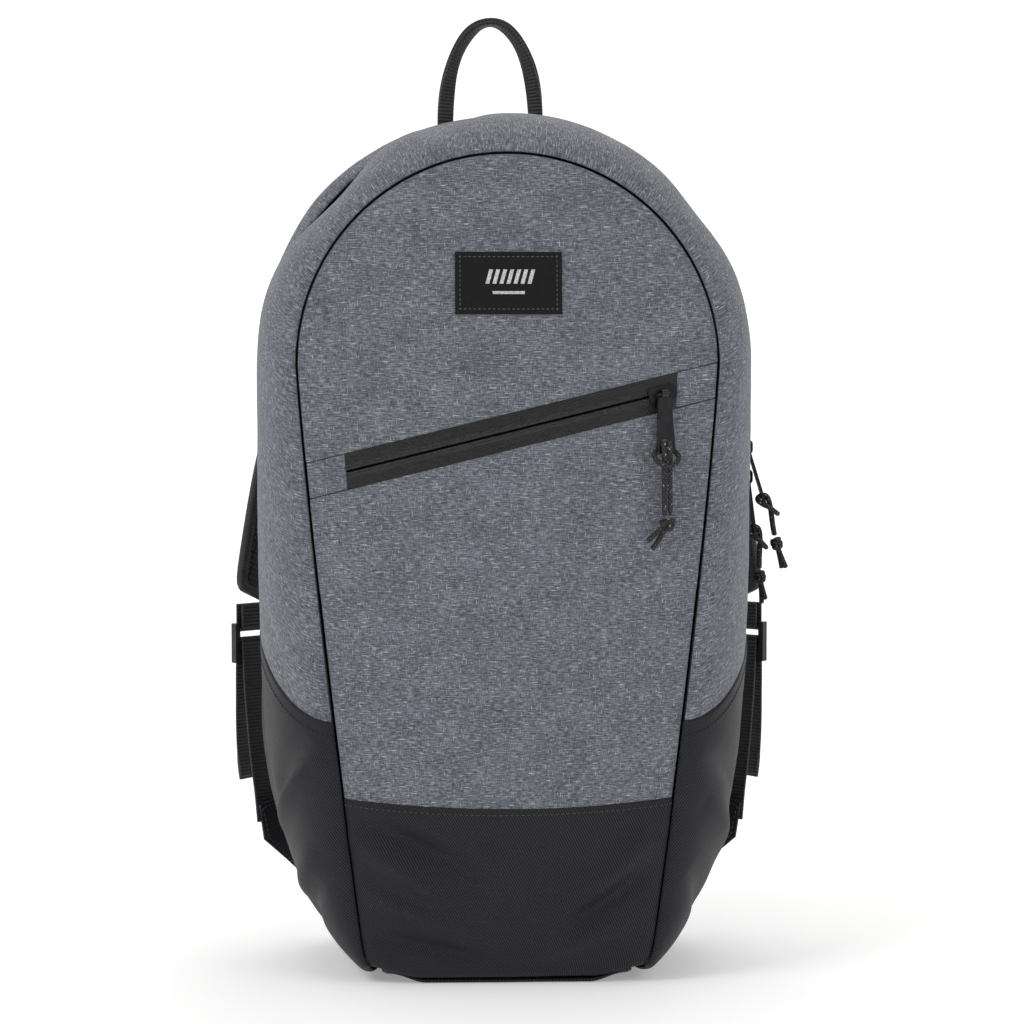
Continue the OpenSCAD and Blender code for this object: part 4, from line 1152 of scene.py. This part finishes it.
tapeFront = bandStrip("mainZipTapeFront", float(wFront(zipSet["play"])), float(wFront(zipSet["tape"])), foldQ,
                      2 - foldQ, 1.75, 0.8, coated, 300, 7, 1.0)
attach(tapeFront, "flap")
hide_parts("main_zip_tape_front")
tapeRear = bandStrip("mainZipTapeRear", float(wRear(zipSet["tape"])), float(wRear(zipSet["play"])), foldQ,
                     2 - foldQ, 1.75, 0.8, coated, 300, 7, 1.0)
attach(tapeRear, "pack")
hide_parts("main_zip_tape_rear")
for side, w, body in (("Front", float(wFront(zipSet["coil"] + 0.4)), "flap"),
                      ("Rear", float(wRear(zipSet["coil"] + 0.4)), "pack")):
    coil = stitchRow("mainZipCoil" + side, [coilPath(w, 3.5)], zipSet["pitch"], zipSet["tooth"], coilPlastic,
                     body)
    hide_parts("main_zip_coil_" + side.lower())


# ---------- pocket ----------
pocketEnd = bag["pocketZip"] / 2 * math.cos(math.radians(bag["pocketSlope"])) / (bag["frontHalf"] * 0.985)


def pocketTape(name, low, high, node):
    s = np.linspace(-pocketEnd, pocketEnd, 480)[None, :]
    off = np.linspace(low, high, 17)[:, None]
    z = pocketLineZ(s, off)
    s = s + 0 * z
    x = s * bag["frontHalf"] / math.cos(math.radians(bag["pocketSlope"]))
    ridge = 0.75 * np.exp(-((np.abs(off) - 1.9) / 0.8) ** 2) * (0.6 + 0.4 * np.cos(2 * math.pi * x / 1.45))
    fall = 0.35 * np.exp(-(np.abs(off) - 0.22) / 0.3)
    base = facePoint(s, z)
    soft = 0.18 * softNoise(base, 9, 41) + 0.07 * softNoise(base, 2.5, 42)
    rough = faceNormal(s, z)
    points = base + rough * (-0.75 + ridge - fall + soft)[..., None]
    uv = np.stack([x, off + 0 * x], axis=-1)
    made = clothSheet(name, points, rough, uv, 0.7, [coated, coated])
    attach(made, "flap")
    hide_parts(node)


pocketTape("pocketZipTapeUpper", 0.22, bandHalf + 0.6, "pocket_zip_tape_upper")
pocketTape("pocketZipTapeLower", -bandHalf - 0.6, -0.22, "pocket_zip_tape_lower")


def pocketCoil():
    lines = []
    s = np.linspace(-pocketEnd, pocketEnd, 120)
    for off in (1.35, -1.35):
        z = pocketLineZ(s, off)
        lines.append((facePoint(s, z) - faceNormal(s, z) * 2.6, (0, 0, 1)))
    for line, word in zip(lines, ("upper", "lower")):
        made = stitchRow("pocketZipCoil" + word.capitalize(), [line], 1.45, (0.9, 2.1, 1.6), coilPlastic, "flap")
        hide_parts("pocket_zip_coil_" + word)


pocketCoil()
for word, sLow, sHigh, inner in (("Left", -0.997, -pocketEnd + 0.002, "right"),
                                 ("Right", pocketEnd - 0.002, 0.997, "left")):
    made = faceCloth("pocketEndTab" + word, lambda s: pocketLineZ(s, -bandHalf + 0.1),
                     lambda s: pocketLineZ(s, bandHalf - 0.1), 30, 26, 27,
                     [heather, lining, seamShadowAndDarkThread], sLow, sHigh,
                     inset=0.15, edges=((inner, 1.2, 0.9), ("low", 1.0, 0.7), ("high", 1.0, 0.7)))
    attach(made, "flap")
    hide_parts("pocket_end_tab_" + word.lower())

pouch = faceCloth("pocketPouch", lambda s: 141 + 0 * s, lambda s: pocketLineZ(s, -4), 60, 50, 47, [lining, lining],
                  -0.9, 0.9, inset=6.4, thick=1.6, wrinkle=0.5, seamShaded=False,
                  edges=(("low", 2.5, 1.0), ("left", 2.5, 1.0), ("right", 2.5, 1.0)))
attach(pouch, "flap")
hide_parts("pocket_bag")
print("zips and pocket made")


# ---------- label ----------
labelSet = {"width": 55, "height": 32, "z": 366, "stitchIn": 2.6}


# A point on the front's upper cloth, lifted off it.
def onUpperFront(x, z, lift):
    s = np.asarray(x, float) / bag["frontHalf"]
    z = np.asarray(z, float)
    base = facePoint(s, z)
    up, _ = faceLift(s, z, base, 27, 0.6)
    up = up + 0.9 * np.exp(-((base[..., 2] - 335) / 26) ** 2 - (base[..., 0] / 60) ** 2)
    return base + faceNormal(s, z) * (up + lift)[..., None]


def makeLabel():
    halfS = labelSet["width"] / 2 / bag["frontHalf"]
    low, high = labelSet["z"] - labelSet["height"] / 2, labelSet["z"] + labelSet["height"] / 2
    patch = faceCloth("labelPatch", lambda s: low + 0 * s, lambda s: high + 0 * s, 50, 70, 27,
                      [labelCloth, labelCloth], -halfS, halfS, inset=-1.15, thick=1.0, seamShaded=False,
                      edges=(("low", 0.8, 0.45), ("high", 0.8, 0.45), ("left", 0.8, 0.45), ("right", 0.8, 0.45)),
                      extra=lambda p: 0.9 * np.exp(-((p[..., 2] - 335) / 26) ** 2 - (p[..., 0] / 60) ** 2))
    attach(patch, "flap")
    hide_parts("label_patch")
    inX, inZ = labelSet["width"] / 2 - labelSet["stitchIn"], labelSet["height"] / 2 - labelSet["stitchIn"]
    z = labelSet["z"]
    borders = []
    for ends in (((-inX, z - inZ), (inX, z - inZ)), ((inX, z - inZ), (inX, z + inZ)),
                 ((inX, z + inZ), (-inX, z + inZ)), ((-inX, z + inZ), (-inX, z - inZ))):
        x = np.linspace(ends[0][0], ends[1][0], 24)
        zs = np.linspace(ends[0][1], ends[1][1], 24)
        borders.append((onUpperFront(x, zs, 1.25), (0, 0, 1) if ends[0][1] == ends[1][1] else (1, 0, 0)))
    stitchRow("labelStitches", borders, 2.4, (1.9, 0.55, 0.5), greyThread, "flap")
    # a plain woven mark: slanting bars over a short line
    bars = []
    for k in range(7):
        x0 = -10.8 + 3.6 * k
        for d in np.linspace(-0.75, 0.75, 4):
            zs = np.linspace(z - 0.2, z + 6.6, 12)
            bars.append((onUpperFront(x0 + d + (zs - z) * 0.28, zs, 1.28), (1, 0, 0)))
    for d in np.linspace(-0.5, 0.5, 3):
        x = np.linspace(-8, 8, 30)
        bars.append((onUpperFront(x, z - 5.0 + d + 0 * x, 1.28), (0, 0, 1)))
    stitchRow("labelMark", bars, 0.45, (0.75, 0.62, 0.35), paleThread, "flap")


makeLabel()
print("label made")


# ---------- padding by cloth simulation ----------
padSet = {"pressure": 4.0, "frames": 20}


# Swells a closed mesh between its sewn points, then keeps every point within the cap, in mm.
def inflate(piece, sewn, cap):
    group = piece.vertex_groups.new(name="sewn")
    group.add([int(i) for i in sewn], 1.0, "REPLACE")
    before = np.empty(len(piece.data.vertices) * 3)
    piece.data.vertices.foreach_get("co", before)
    before = before.reshape(-1, 3)
    cloth = piece.modifiers.new("swell", "CLOTH")
    settings = cloth.settings
    settings.quality = 6
    settings.mass = 0.15
    settings.tension_stiffness = settings.compression_stiffness = 12
    settings.shear_stiffness = 8
    settings.bending_stiffness = 0.4
    settings.use_pressure = True
    settings.uniform_pressure_force = padSet["pressure"]
    settings.vertex_group_mass = "sewn"
    settings.effector_weights.gravity = 0
    cloth.point_cache.frame_start, cloth.point_cache.frame_end = 1, padSet["frames"]
    scene = bpy.context.scene
    for f in range(1, padSet["frames"] + 1):
        scene.frame_set(f)
    graph = bpy.context.evaluated_depsgraph_get()
    result = piece.evaluated_get(graph).to_mesh()
    after = np.empty(len(result.vertices) * 3)
    result.vertices.foreach_get("co", after)
    after = after.reshape(-1, 3)
    move = after - before
    far = np.linalg.norm(move, axis=1, keepdims=True)
    limit = cap * mm
    move = move * (limit * np.tanh(far / limit) / np.maximum(far, 1e-9))
    piece.evaluated_get(graph).to_mesh_clear()
    piece.modifiers.remove(cloth)
    piece.vertex_groups.clear()
    piece.data.vertices.foreach_set("co", (before + move).ravel())
    piece.data.update()
    scene.frame_set(1)


# ---------- shoulder straps ----------
strap = {"half": 31, "foam": 8.6, "rows": 76, "columns": 31, "sewn": 0.80, "cap": 4.0}
strapEnd = np.array([bag["zipHalf"] + 0.5, backY + 4, 188.0])
strapLine = np.array([[38, backY + 9, archZ + 99], [40, backY + 50, archZ + 74],
                      [106, backY + 38, 283], strapEnd])


def bezierAt(p, t):
    t = np.asarray(t, float)[..., None]
    return (1 - t) ** 3 * p[0] + 3 * (1 - t) ** 2 * t * p[1] + 3 * (1 - t) * t * t * p[2] + t ** 3 * p[3]


def strapFrame(t):
    t = np.asarray(t, float)
    f = unitRows(bezierAt(strapLine, np.minimum(1, t + 0.01)) - bezierAt(strapLine, np.maximum(0, t - 0.01)))
    turn = np.radians(40) * smoothStep((t - 0.5) / 0.45)
    flat = unitRows(np.stack([-f[..., 2], 0 * t, f[..., 0]], axis=-1))
    turned = np.cos(turn)[..., None] * flat - np.sin(turn)[..., None] * np.array([0.0, 1, 0])
    across = unitRows(turned - np.sum(turned * f, axis=-1, keepdims=True) * f)
    half = strap["half"] * np.where(t < 0.72, 1, 1 - 0.5 * np.clip((t - 0.72) / 0.28, 0, 1) ** 1.4)
    centre = bezierAt(strapLine, t)
    centre[..., 1] -= 5.5 * np.exp(-t / 0.035)      # the sewn top end bends in to the yoke
    return centre, across, np.cross(across, f), half


def strapPad():
    n, m = strap["rows"], strap["columns"]
    t = np.linspace(0.004, 0.996, n)[:, None]
    s = spread(m, 0.6)[None] * 2 - 1
    centre, across, up, half = strapFrame(t[:, 0])
    length = 255.0
    fromEnd = np.minimum(t, 1 - t) * length
    share = (1 - np.abs(s) ** 4) ** 0.6 * np.sqrt(np.clip(fromEnd / 9, 0, 1))
    line = 1 - 0.42 * np.exp(-((np.abs(s) - strap["sewn"]) / 0.045) ** 2)
    h = strap["foam"] / 2 * 0.62 * share * line
    flat = centre[:, None] + (s * (half[:, None] - 2.2))[..., None] * across[:, None]
    middle = 4.0
    top = flat + (middle + h)[..., None] * up[:, None]
    bottom = flat + (middle - h)[..., None] * up[:, None]
    edge = np.zeros((n, m), bool)
    edge[0], edge[-1], edge[:, 0], edge[:, -1] = True, True, True, True
    topId = np.arange(n * m).reshape(n, m)
    bottomId = topId.copy()
    inside = ~edge
    bottomId[inside] = n * m + np.arange(inside.sum())
    verts = np.concatenate([top.reshape(-1, 3), bottom[inside]])
    uv = np.stack([s * half[:, None], t * length + 0 * s], axis=-1)
    uvs = np.concatenate([uv.reshape(-1, 2), uv[inside]])
    faces, indices = [], []
    for i in range(n - 1):
        for k in range(m - 1):
            faces.append((topId[i, k], topId[i, k + 1], topId[i + 1, k + 1], topId[i + 1, k]))
            faces.append((bottomId[i, k], bottomId[i + 1, k], bottomId[i + 1, k + 1], bottomId[i, k + 1]))
            indices += [0, 1]
    pad = makePiece("strapPadRight", verts, faces, uvs, [blackCloth, spacer], indices)
    nearLine = np.abs(np.abs(s) - strap["sewn"]) < 0.03
    sewnTop = (edge | (nearLine & (t > 0.03) & (t < 0.97)) | (t < 0.02) | (t > 0.98))
    sewn = set(topId[sewnTop]) | set(bottomId[sewnTop])
    inflate(pad, sorted(sewn), strap["cap"])
    return pad


# The mirror image of a finished piece, with its faces turned back outwards.
def mirrored(piece, name):
    mesh = piece.data.copy()
    mesh.name = name
    co = np.empty(len(mesh.vertices) * 3)
    mesh.vertices.foreach_get("co", co)
    co = co.reshape(-1, 3) * np.array([-1, 1, 1])
    mesh.vertices.foreach_set("co", co.ravel())
    mesh.flip_normals()
    mesh.update()
    return linkObject(name, mesh)


def bothSides(piece, base, nodes=()):
    left = mirrored(piece, base + "Left")
    for made, side in ((piece, "right"), (left, "left")):
        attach(made, "strap_" + side)
        for node in nodes:
            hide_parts(node + "_" + side)
    piece.name = base + "Right"


def strapBinding():
    t = np.linspace(0.01, 0.99, 70)
    centre, across, up, half = strapFrame(t)
    right = centre + across * (half - 1.8)[:, None] + up * 4.0
    left = centre - across * (half - 1.8)[:, None] + up * 4.0
    lowEnd = [right[-1] + (left[-1] - right[-1]) * k for k in np.linspace(0, 1, 16)[1:-1]]
    topEnd = [left[0] + (right[0] - left[0]) * k for k in np.linspace(0, 1, 22)[1:-1]]
    loop = np.array(list(right) + lowEnd + list(left[::-1]) + topEnd)
    ups = np.array(list(up) + [up[-1]] * len(lowEnd) + list(up[::-1]) + [up[0]] * len(topEnd))
    for _ in range(3):
        loop = (np.roll(loop, 1, 0) + 2 * loop + np.roll(loop, -1, 0)) / 4
        ups = unitRows(np.roll(ups, 1, 0) + 2 * ups + np.roll(ups, -1, 0))
    tangent = unitRows(np.roll(loop, -1, 0) - np.roll(loop, 1, 0))
    outward = unitRows(np.cross(tangent, ups))
    if np.sum((loop - loop.mean(axis=0)) * outward) < 0:
        outward = -outward
    ups = unitRows(np.cross(outward, tangent))
    k = np.linspace(0, 2 * math.pi, 16, endpoint=False)
    profile = np.stack([2.9 * np.sign(np.cos(k)) * np.abs(np.cos(k)) ** 0.7 - 0.9,
                        2.75 * np.sign(np.sin(k)) * np.abs(np.sin(k)) ** 0.7], axis=-1)
    made = sweepPiece("strapBindingRight", loop, outward, ups, profile, [bindingCloth], ring=True)
    bothSides(made, "strapBinding")


def strapStitches():
    t = np.linspace(0.04, 0.97, 90)
    centre, across, up, half = strapFrame(t)
    lines = []
    for side in (-1, 1):
        place = centre + side * across * (strap["sewn"] * (half - 2.2))[:, None]
        lines.append((place + up * 6.3, across))
        lines.append((place + up * 1.7, across))
    made = stitchRow("strapStitchesRight", lines, 3.2, (2.5, 0.8, 0.8), blackThread, None)
    bothSides(made, "strapStitches")


pad = strapPad()
bothSides(pad, "strapPad", ("strap_cover", "strap_foam", "strap_mesh"))
strapBinding()
strapStitches()
print("strap pads made")


# Webbing below a strap: routes in mm from the strap's end, turned round the bag's corner.
web = {"width": 25, "thick": 1.5, "lockY": 4, "lockZ": -23}


def atStrapEnd(points):
    return np.asarray(points, float) @ turnZ(-40).T + strapEnd


def arcPoints(y, z, r, start, stop, count, x=0.0):
    return [(x, y + r * math.cos(math.radians(a)), z + r * math.sin(math.radians(a)))
            for a in np.linspace(start, stop, count)]


def webbingPiece(name, route, per, hem=False):
    path = atStrapEnd(splinePath(route, per))
    tangent = unitRows(np.gradient(path, axis=0))
    side = turnZ(-40) @ np.array([1.0, 0, 0])
    side = unitRows(side[None] - (tangent @ side)[:, None] * tangent)
    up = np.cross(side, tangent)
    profile = np.repeat(np.array(webProfile(web["width"], web["thick"]))[None], len(path), axis=0)
    if hem:
        left = np.linalg.norm(path - path[-1], axis=1)
        profile[left < 13, :, 1] *= 1.9
        profile[-1, :, 1] *= 0.7
    return sweepPiece(name, path, side, up, profile, [webCloth])


wrap = 1.5 + 0.3 + web["thick"] / 2
loopR = 1.5 + 0.25 + web["thick"] / 2
lockY, lockZ = web["lockY"], web["lockZ"]
route = [(0, -11.5, -122), (0, -9, -105), (0, -5.5, -88), (0, -2, -64), (0, 0.2, -44), (0, 0.9, lockZ - 9),
         (0, lockY - wrap, lockZ - 4)] + arcPoints(lockY, lockZ, wrap, 180, 0, 7)
route += [(0, lockY + wrap + 0.1, lockZ - 6), (0, 7.2, lockZ - 14), (-1, 8.6, -52), (-2, 10, -68),
          (-3, 10.5, -84), (-4, 9.5, -100)]
bothSides(webbingPiece("webbingRight", route, 3, hem=True), "webbing", ("webbing",))
loopZ = lockZ + 9.5
loopRoute = [(0, lockY - loopR, -1.5), (0, lockY - loopR, loopZ + 3)] + arcPoints(lockY, loopZ, loopR, 180, 360, 9)
loopRoute += [(0, lockY + loopR, loopZ + 3), (0, lockY + loopR, -1.5)]
bothSides(webbingPiece("ladderLoopRight", loopRoute, 3), "ladderLoop", ("ladder_loop",))


# A flat patch from an outline in its own plane, with softened edges.
def patchPiece(name, outline, thick, place, finish, soften=0.5):
    n = len(outline)
    grow = np.array(outline, float)
    middle = grow.mean(axis=0)
    inner = middle + (grow - middle) * (1 - soften / np.abs(grow - middle).max())
    layers = [(inner, 0), (grow, soften), (grow, thick - soften), (inner, thick)]
    verts = np.array([(p[0], p[1], h) for layer, h in layers for p in layer])
    faces = [tuple(range(n)), tuple(3 * n + k for k in range(n - 1, -1, -1))]
    for layer in range(3):
        for k in range(n):
            a, b = layer * n + k, layer * n + (k + 1) % n
            faces.append((a, a + n, b + n, b))
    made = makePiece(name, place(verts), faces, verts[:, :2], [finish], smooth=False)
    return made


# Points along the edges of an outline, a little inside them.
def outlinePath(outline, inset, count):
    p = np.array(outline, float)
    middle = p.mean(axis=0)
    p = middle + (p - middle) * (1 - inset / np.linalg.norm(p - middle, axis=1, keepdims=True))
    p = np.concatenate([p, p[:1]])
    return np.concatenate([np.linspace(p[i], p[i + 1], count)[:-1] for i in range(len(p) - 1)] + [p[-1:]])


wing = [(-13, -106), (-4, -108), (4.5, -110), (12.5, -112), (10.8, -122), (9, -132), (1.5, -138), (-6, -144),
        (-13, -150), (-13, -128)]


def atWing(verts):
    v = np.asarray(verts, float)
    return atStrapEnd(np.stack([v[:, 0], -12.45 - v[:, 2], v[:, 1]], axis=-1))


made = patchPiece("webbingWingRight", wing, 1.6, atWing, blackCloth)
flat = outlinePath(wing, 2.6, 8)
line = atWing(np.column_stack([flat, np.full(len(flat), -0.1)]))
line2 = atWing(np.column_stack([flat, np.full(len(flat), 1.7)]))
stitched = stitchRow("wingStitchesRight", [(line, (0.77, -0.64, 0)), (line2, (0.77, -0.64, 0))], 3,
                     (2.3, 0.8, 0.7), blackThread, None)
for piece, base in ((made, "webbingWing"), (stitched, "wingStitches")):
    left = mirrored(piece, base + "Left")
    for one, side in ((piece, "right"), (left, "left")):
        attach(one, "pack")
        if base == "webbingWing":
            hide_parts("webbing_wing_" + side)
print("webbing made")


# ---------- yoke and haul loop ----------
yokeOutline = [(-70, 0), (-35, 0), (0, 0), (35, 0), (70, 0), (67, 7), (62, 14), (31, 14), (0, 14), (-31, 14),
               (-62, 14), (-67, 7)]


def atYoke(verts):
    v = np.asarray(verts, float)
    return np.stack([v[:, 0], backY + 1.5 + v[:, 2], archZ + 92 + v[:, 1]], axis=-1)


yoke = patchPiece("strapYoke", yokeOutline, 3.0, atYoke, blackCloth, 0.8)
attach(yoke, "pack")
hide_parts("strap_yoke")
yokeLines = []
for inset in (2.2, 4.0):
    flat = outlinePath(yokeOutline, inset, 6)
    yokeLines.append((atYoke(np.column_stack([flat, np.full(len(flat), 3.05)])), (0, 0, 1)))
for x in (-38, 38):
    for d in (-16, 16):
        flat = np.linspace((x - 16, 7 - 5 * np.sign(d)), (x + 16, 7 + 5 * np.sign(d)), 16)
        yokeLines.append((atYoke(np.column_stack([flat, np.full(len(flat), 3.05)])), (0, 0, 1)))
stitchRow("yokeStitches", yokeLines, 2.8, (2.2, 0.8, 0.7), greyThread, "pack")

haul = {"x": -5, "span": 50, "width": 8.4, "thick": 3, "height": 53}


# Webbing folded along its length: its two layers meet at one edge.
def haulLoop():
    a = np.linspace(0, math.pi, 91)
    footZ = archZ + bag["backHalf"] + 0.8
    high = bag["height"] + haul["height"] - footZ - haul["thick"] / 2
    sine = np.sin(a).clip(0, 1)
    centre = np.stack([haul["x"] - haul["span"] / 2 * np.cos(a) * (1 - 0.18 * sine), 0 * a + backY + 3,
                       footZ + high * sine ** 0.62], axis=-1)
    centre[:, 1] += 0.7 * np.sin(3 * a + 0.6) * sine - 1.2 * np.exp(-(sine / 0.08) ** 2)
    centre[[0, -1], 2] -= 3.0
    tangent = unitRows(np.gradient(centre, axis=0))
    tangent[0], tangent[-1] = (0, 0, 1), (0, 0, -1)
    roll = np.radians(68) * sine ** 0.7 + 0.10 * np.sin(5 * a) * sine
    flat = unitRows(np.stack([tangent[:, 2], 0 * a, -tangent[:, 0]], axis=-1))
    side = np.cos(roll)[:, None] * flat + np.sin(roll)[:, None] * np.array([0.0, 1, 0])
    up = np.cross(side, tangent)
    half, h = haul["width"] / 2, haul["thick"] / 2
    hair = [(-half, h), (-half / 2, h + 0.1), (0, h + 0.15), (half / 2, h + 0.1), (half - h, h)]
    hair += [(half - h + h * math.cos(b), h * math.sin(b))
             for b in np.linspace(math.pi / 2, -math.pi / 2, 9)[1:-1]]
    hair += [(half - h, -h), (half / 2, -h - 0.1), (0, -h - 0.15), (-half / 2, -h - 0.1), (-half, -h)]
    hair += [(-half, -0.18), (0, -0.18), (half - h, -0.18), (half - h, 0.18), (0, 0.18), (-half, 0.18)]
    profile = np.repeat(np.array(hair)[None], len(a), axis=0)
    profile[:, :, 0] *= (1 + 0.05 * np.sin(7 * a + 1))[:, None]
    made = sweepPiece("haulLoop", centre, side, up, profile, [webCloth])
    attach(made, "haul_loop")
    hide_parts("haul_loop")
    inset = -half + 1.6
    lines = [(centre + side * inset + up * lift, side) for lift in (h + 0.25, -h - 0.25)]
    stitchRow("haulStitches", [(p[4:-4], v[4:-4]) for p, v in lines], 2.8, (2.2, 0.7, 0.5), blackThread,
              "haul_loop")


haulLoop()
print("haul loop made")


# ---------- padded back panel ----------
backSet = {"swell": 2.4, "cap": 5.0, "channel": 12, "edge": 17, "seams": (150, 262), "low": 34, "high": 398}


def backPad():
    n, m = 150, 101
    s = np.linspace(-1, 1, m)[None]
    s = np.sign(s) * np.abs(s) ** 0.9
    v = spread(n, 0.5)[:, None]
    half = bag["backHalf"]
    low = floorZ + 0.5
    high = archZ + half * np.sqrt(np.maximum(0, 1 - s * s)) - 0.3
    z = low + (high - low) * v
    x = s * np.where(z < archZ, half * sideShare(z), half) * 0.997
    outline = np.where(z < archZ, half * sideShare(z), half)
    fromSide = np.where(z < archZ, outline - np.abs(x), half - np.sqrt(x * x + np.clip(z - archZ, 0, None) ** 2))
    inX = np.minimum(np.abs(x) - backSet["channel"], fromSide - backSet["edge"])
    inZ = np.minimum(z - backSet["low"], backSet["high"] - z)
    for seam in backSet["seams"]:
        inZ = np.minimum(inZ, np.abs(z - seam) - 2.0)
    inside = np.minimum(inX, inZ)
    mask = np.clip(inside / 7, 0, 1)
    rise = backSet["swell"] * np.sqrt(mask) - 1.6 * np.exp(-fromSide.clip(0) / 2.2)
    y = backY + 1.2 + rise + 0.25 * softNoise(np.stack([x, 0 * x, z], axis=-1), 40, 9)
    outer = np.stack([x, y, z], axis=-1)
    inner = np.stack([x * 0.985, 0 * x + backY - 6.0, z], axis=-1)
    o = n * m
    verts = np.concatenate([outer.reshape(-1, 3), inner.reshape(-1, 3)])
    uvs = np.concatenate([np.stack([x, z], axis=-1).reshape(-1, 2)] * 2)
    faces, indices = [], []
    for i in range(n - 1):
        for k in range(m - 1):
            a, b, c, d = i * m + k, i * m + k + 1, (i + 1) * m + k + 1, (i + 1) * m + k
            faces += [(a, b, c, d), (o + a, o + d, o + c, o + b)]
            indices += [0, 1]
    loop = [k for k in range(m)] + [i * m + m - 1 for i in range(1, n)]
    loop += [(n - 1) * m + k for k in range(m - 2, -1, -1)] + [i * m for i in range(n - 2, 0, -1)]
    for k in range(len(loop)):
        a, b = loop[k], loop[(k + 1) % len(loop)]
        faces.append((b, a, o + a, o + b))
        indices.append(0)
    made = makePiece("backPad", verts, faces, uvs, [spacer, lining], indices)
    co = np.empty(len(made.data.vertices) * 3)
    made.data.vertices.foreach_get("co", co)
    co = co.reshape(-1, 3) / mm
    sewnGrid = mask < 0.35
    held = {(round(p[0], 2), round(p[2], 2)) for p in outer[sewnGrid].tolist()}
    sewn = [i for i, p in enumerate(co.tolist()) if p[1] < backY - 3 or (round(p[0], 2), round(p[2], 2)) in held]
    inflate(made, sewn, backSet["cap"])
    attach(made, "pack")
    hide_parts("back_panel_cover", "back_panel_foam")
    lines = []
    for side in (-1, 1):
        zs = np.linspace(40, 392, 110)
        x = 0 * zs + side * (backSet["channel"] - 1.2)
        lines.append((np.stack([x, 0 * zs + backY + 1.5, zs], axis=-1), (1, 0, 0)))
    for seam in backSet["seams"]:
        for side in (-1, 1):
            xs = np.linspace(16, 100, 40) * side
            lines.append((np.stack([xs, 0 * xs + backY + 1.5, 0 * xs + seam], axis=-1), (0, 0, 1)))
    stitchRow("backStitches", lines, 3.4, (2.6, 0.8, 0.8), blackThread, "pack")


def backLining():
    n, m = 60, 50
    s = np.linspace(-1, 1, m)[None]
    v = np.linspace(0, 1, n)[:, None]
    half = bag["backHalf"] - 5.5
    low = 4.0
    high = archZ + half * np.sqrt(np.maximum(0, 1 - s * s))
    z = low + (high - low) * v
    x = s * np.where(z < archZ, bag["backHalf"] * sideShare(z) - 5.5, half)
    points = np.stack([x, 0 * x + backY - 7.0, z], axis=-1)
    points[..., 1] -= 0.6 * (1 + softNoise(points, 45, 61)) * 0.8
    rough = np.zeros_like(points)
    rough[..., 1] = -1
    made = clothSheet("backLining", points, rough, np.stack([x, z], axis=-1), 0.5, [lining, lining])
    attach(made, "pack")
    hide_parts("back_panel_lining")


backPad()
backLining()
print("back panel made")


# ---------- hard parts kept from the solid model ----------
def refinish(nodes, finish):
    for node in nodes:
        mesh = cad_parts[node].data
        mesh.materials.clear()
        mesh.materials.append(finish)


refinish(["pocket_slider", "main_slider_upper", "main_slider_lower", "pocket_pull_tab", "main_pull_tab_upper",
          "main_pull_tab_lower"], metal)
refinish(["ladder_lock_left", "ladder_lock_right"], plastic)


# ---------- floor ----------
def studioFloor():
    rows = [(-4.0, 0.0), (1.4, 0.0)]
    rows += [(1.4 + 1.0 * math.sin(a), 1.0 - 1.0 * math.cos(a)) for a in np.linspace(0.1, math.pi / 2, 14)]
    rows.append((2.4, 4.5))
    verts, faces = [], []
    for y, z in rows:
        verts += [(-5, y, z - 0.0003), (5, y, z - 0.0003)]
    for i in range(len(rows) - 1):
        faces.append((2 * i, 2 * i + 1, 2 * i + 3, 2 * i + 2))
    mesh = bpy.data.meshes.new("studioFloor")
    mesh.from_pydata(verts, [], faces)
    mesh.polygons.foreach_set("use_smooth", [True] * len(faces))
    floor = linkObject("studioFloor", mesh)
    made, _, shader = newMaterial("studioWhite", 0.95)
    shader.inputs["Base Color"].default_value = (0.95, 0.95, 0.95, 1)
    shader.inputs["Emission Color"].default_value = (1, 1, 1, 1)
    shader.inputs["Emission Strength"].default_value = 0.26
    mesh.materials.append(made)


studioFloor()
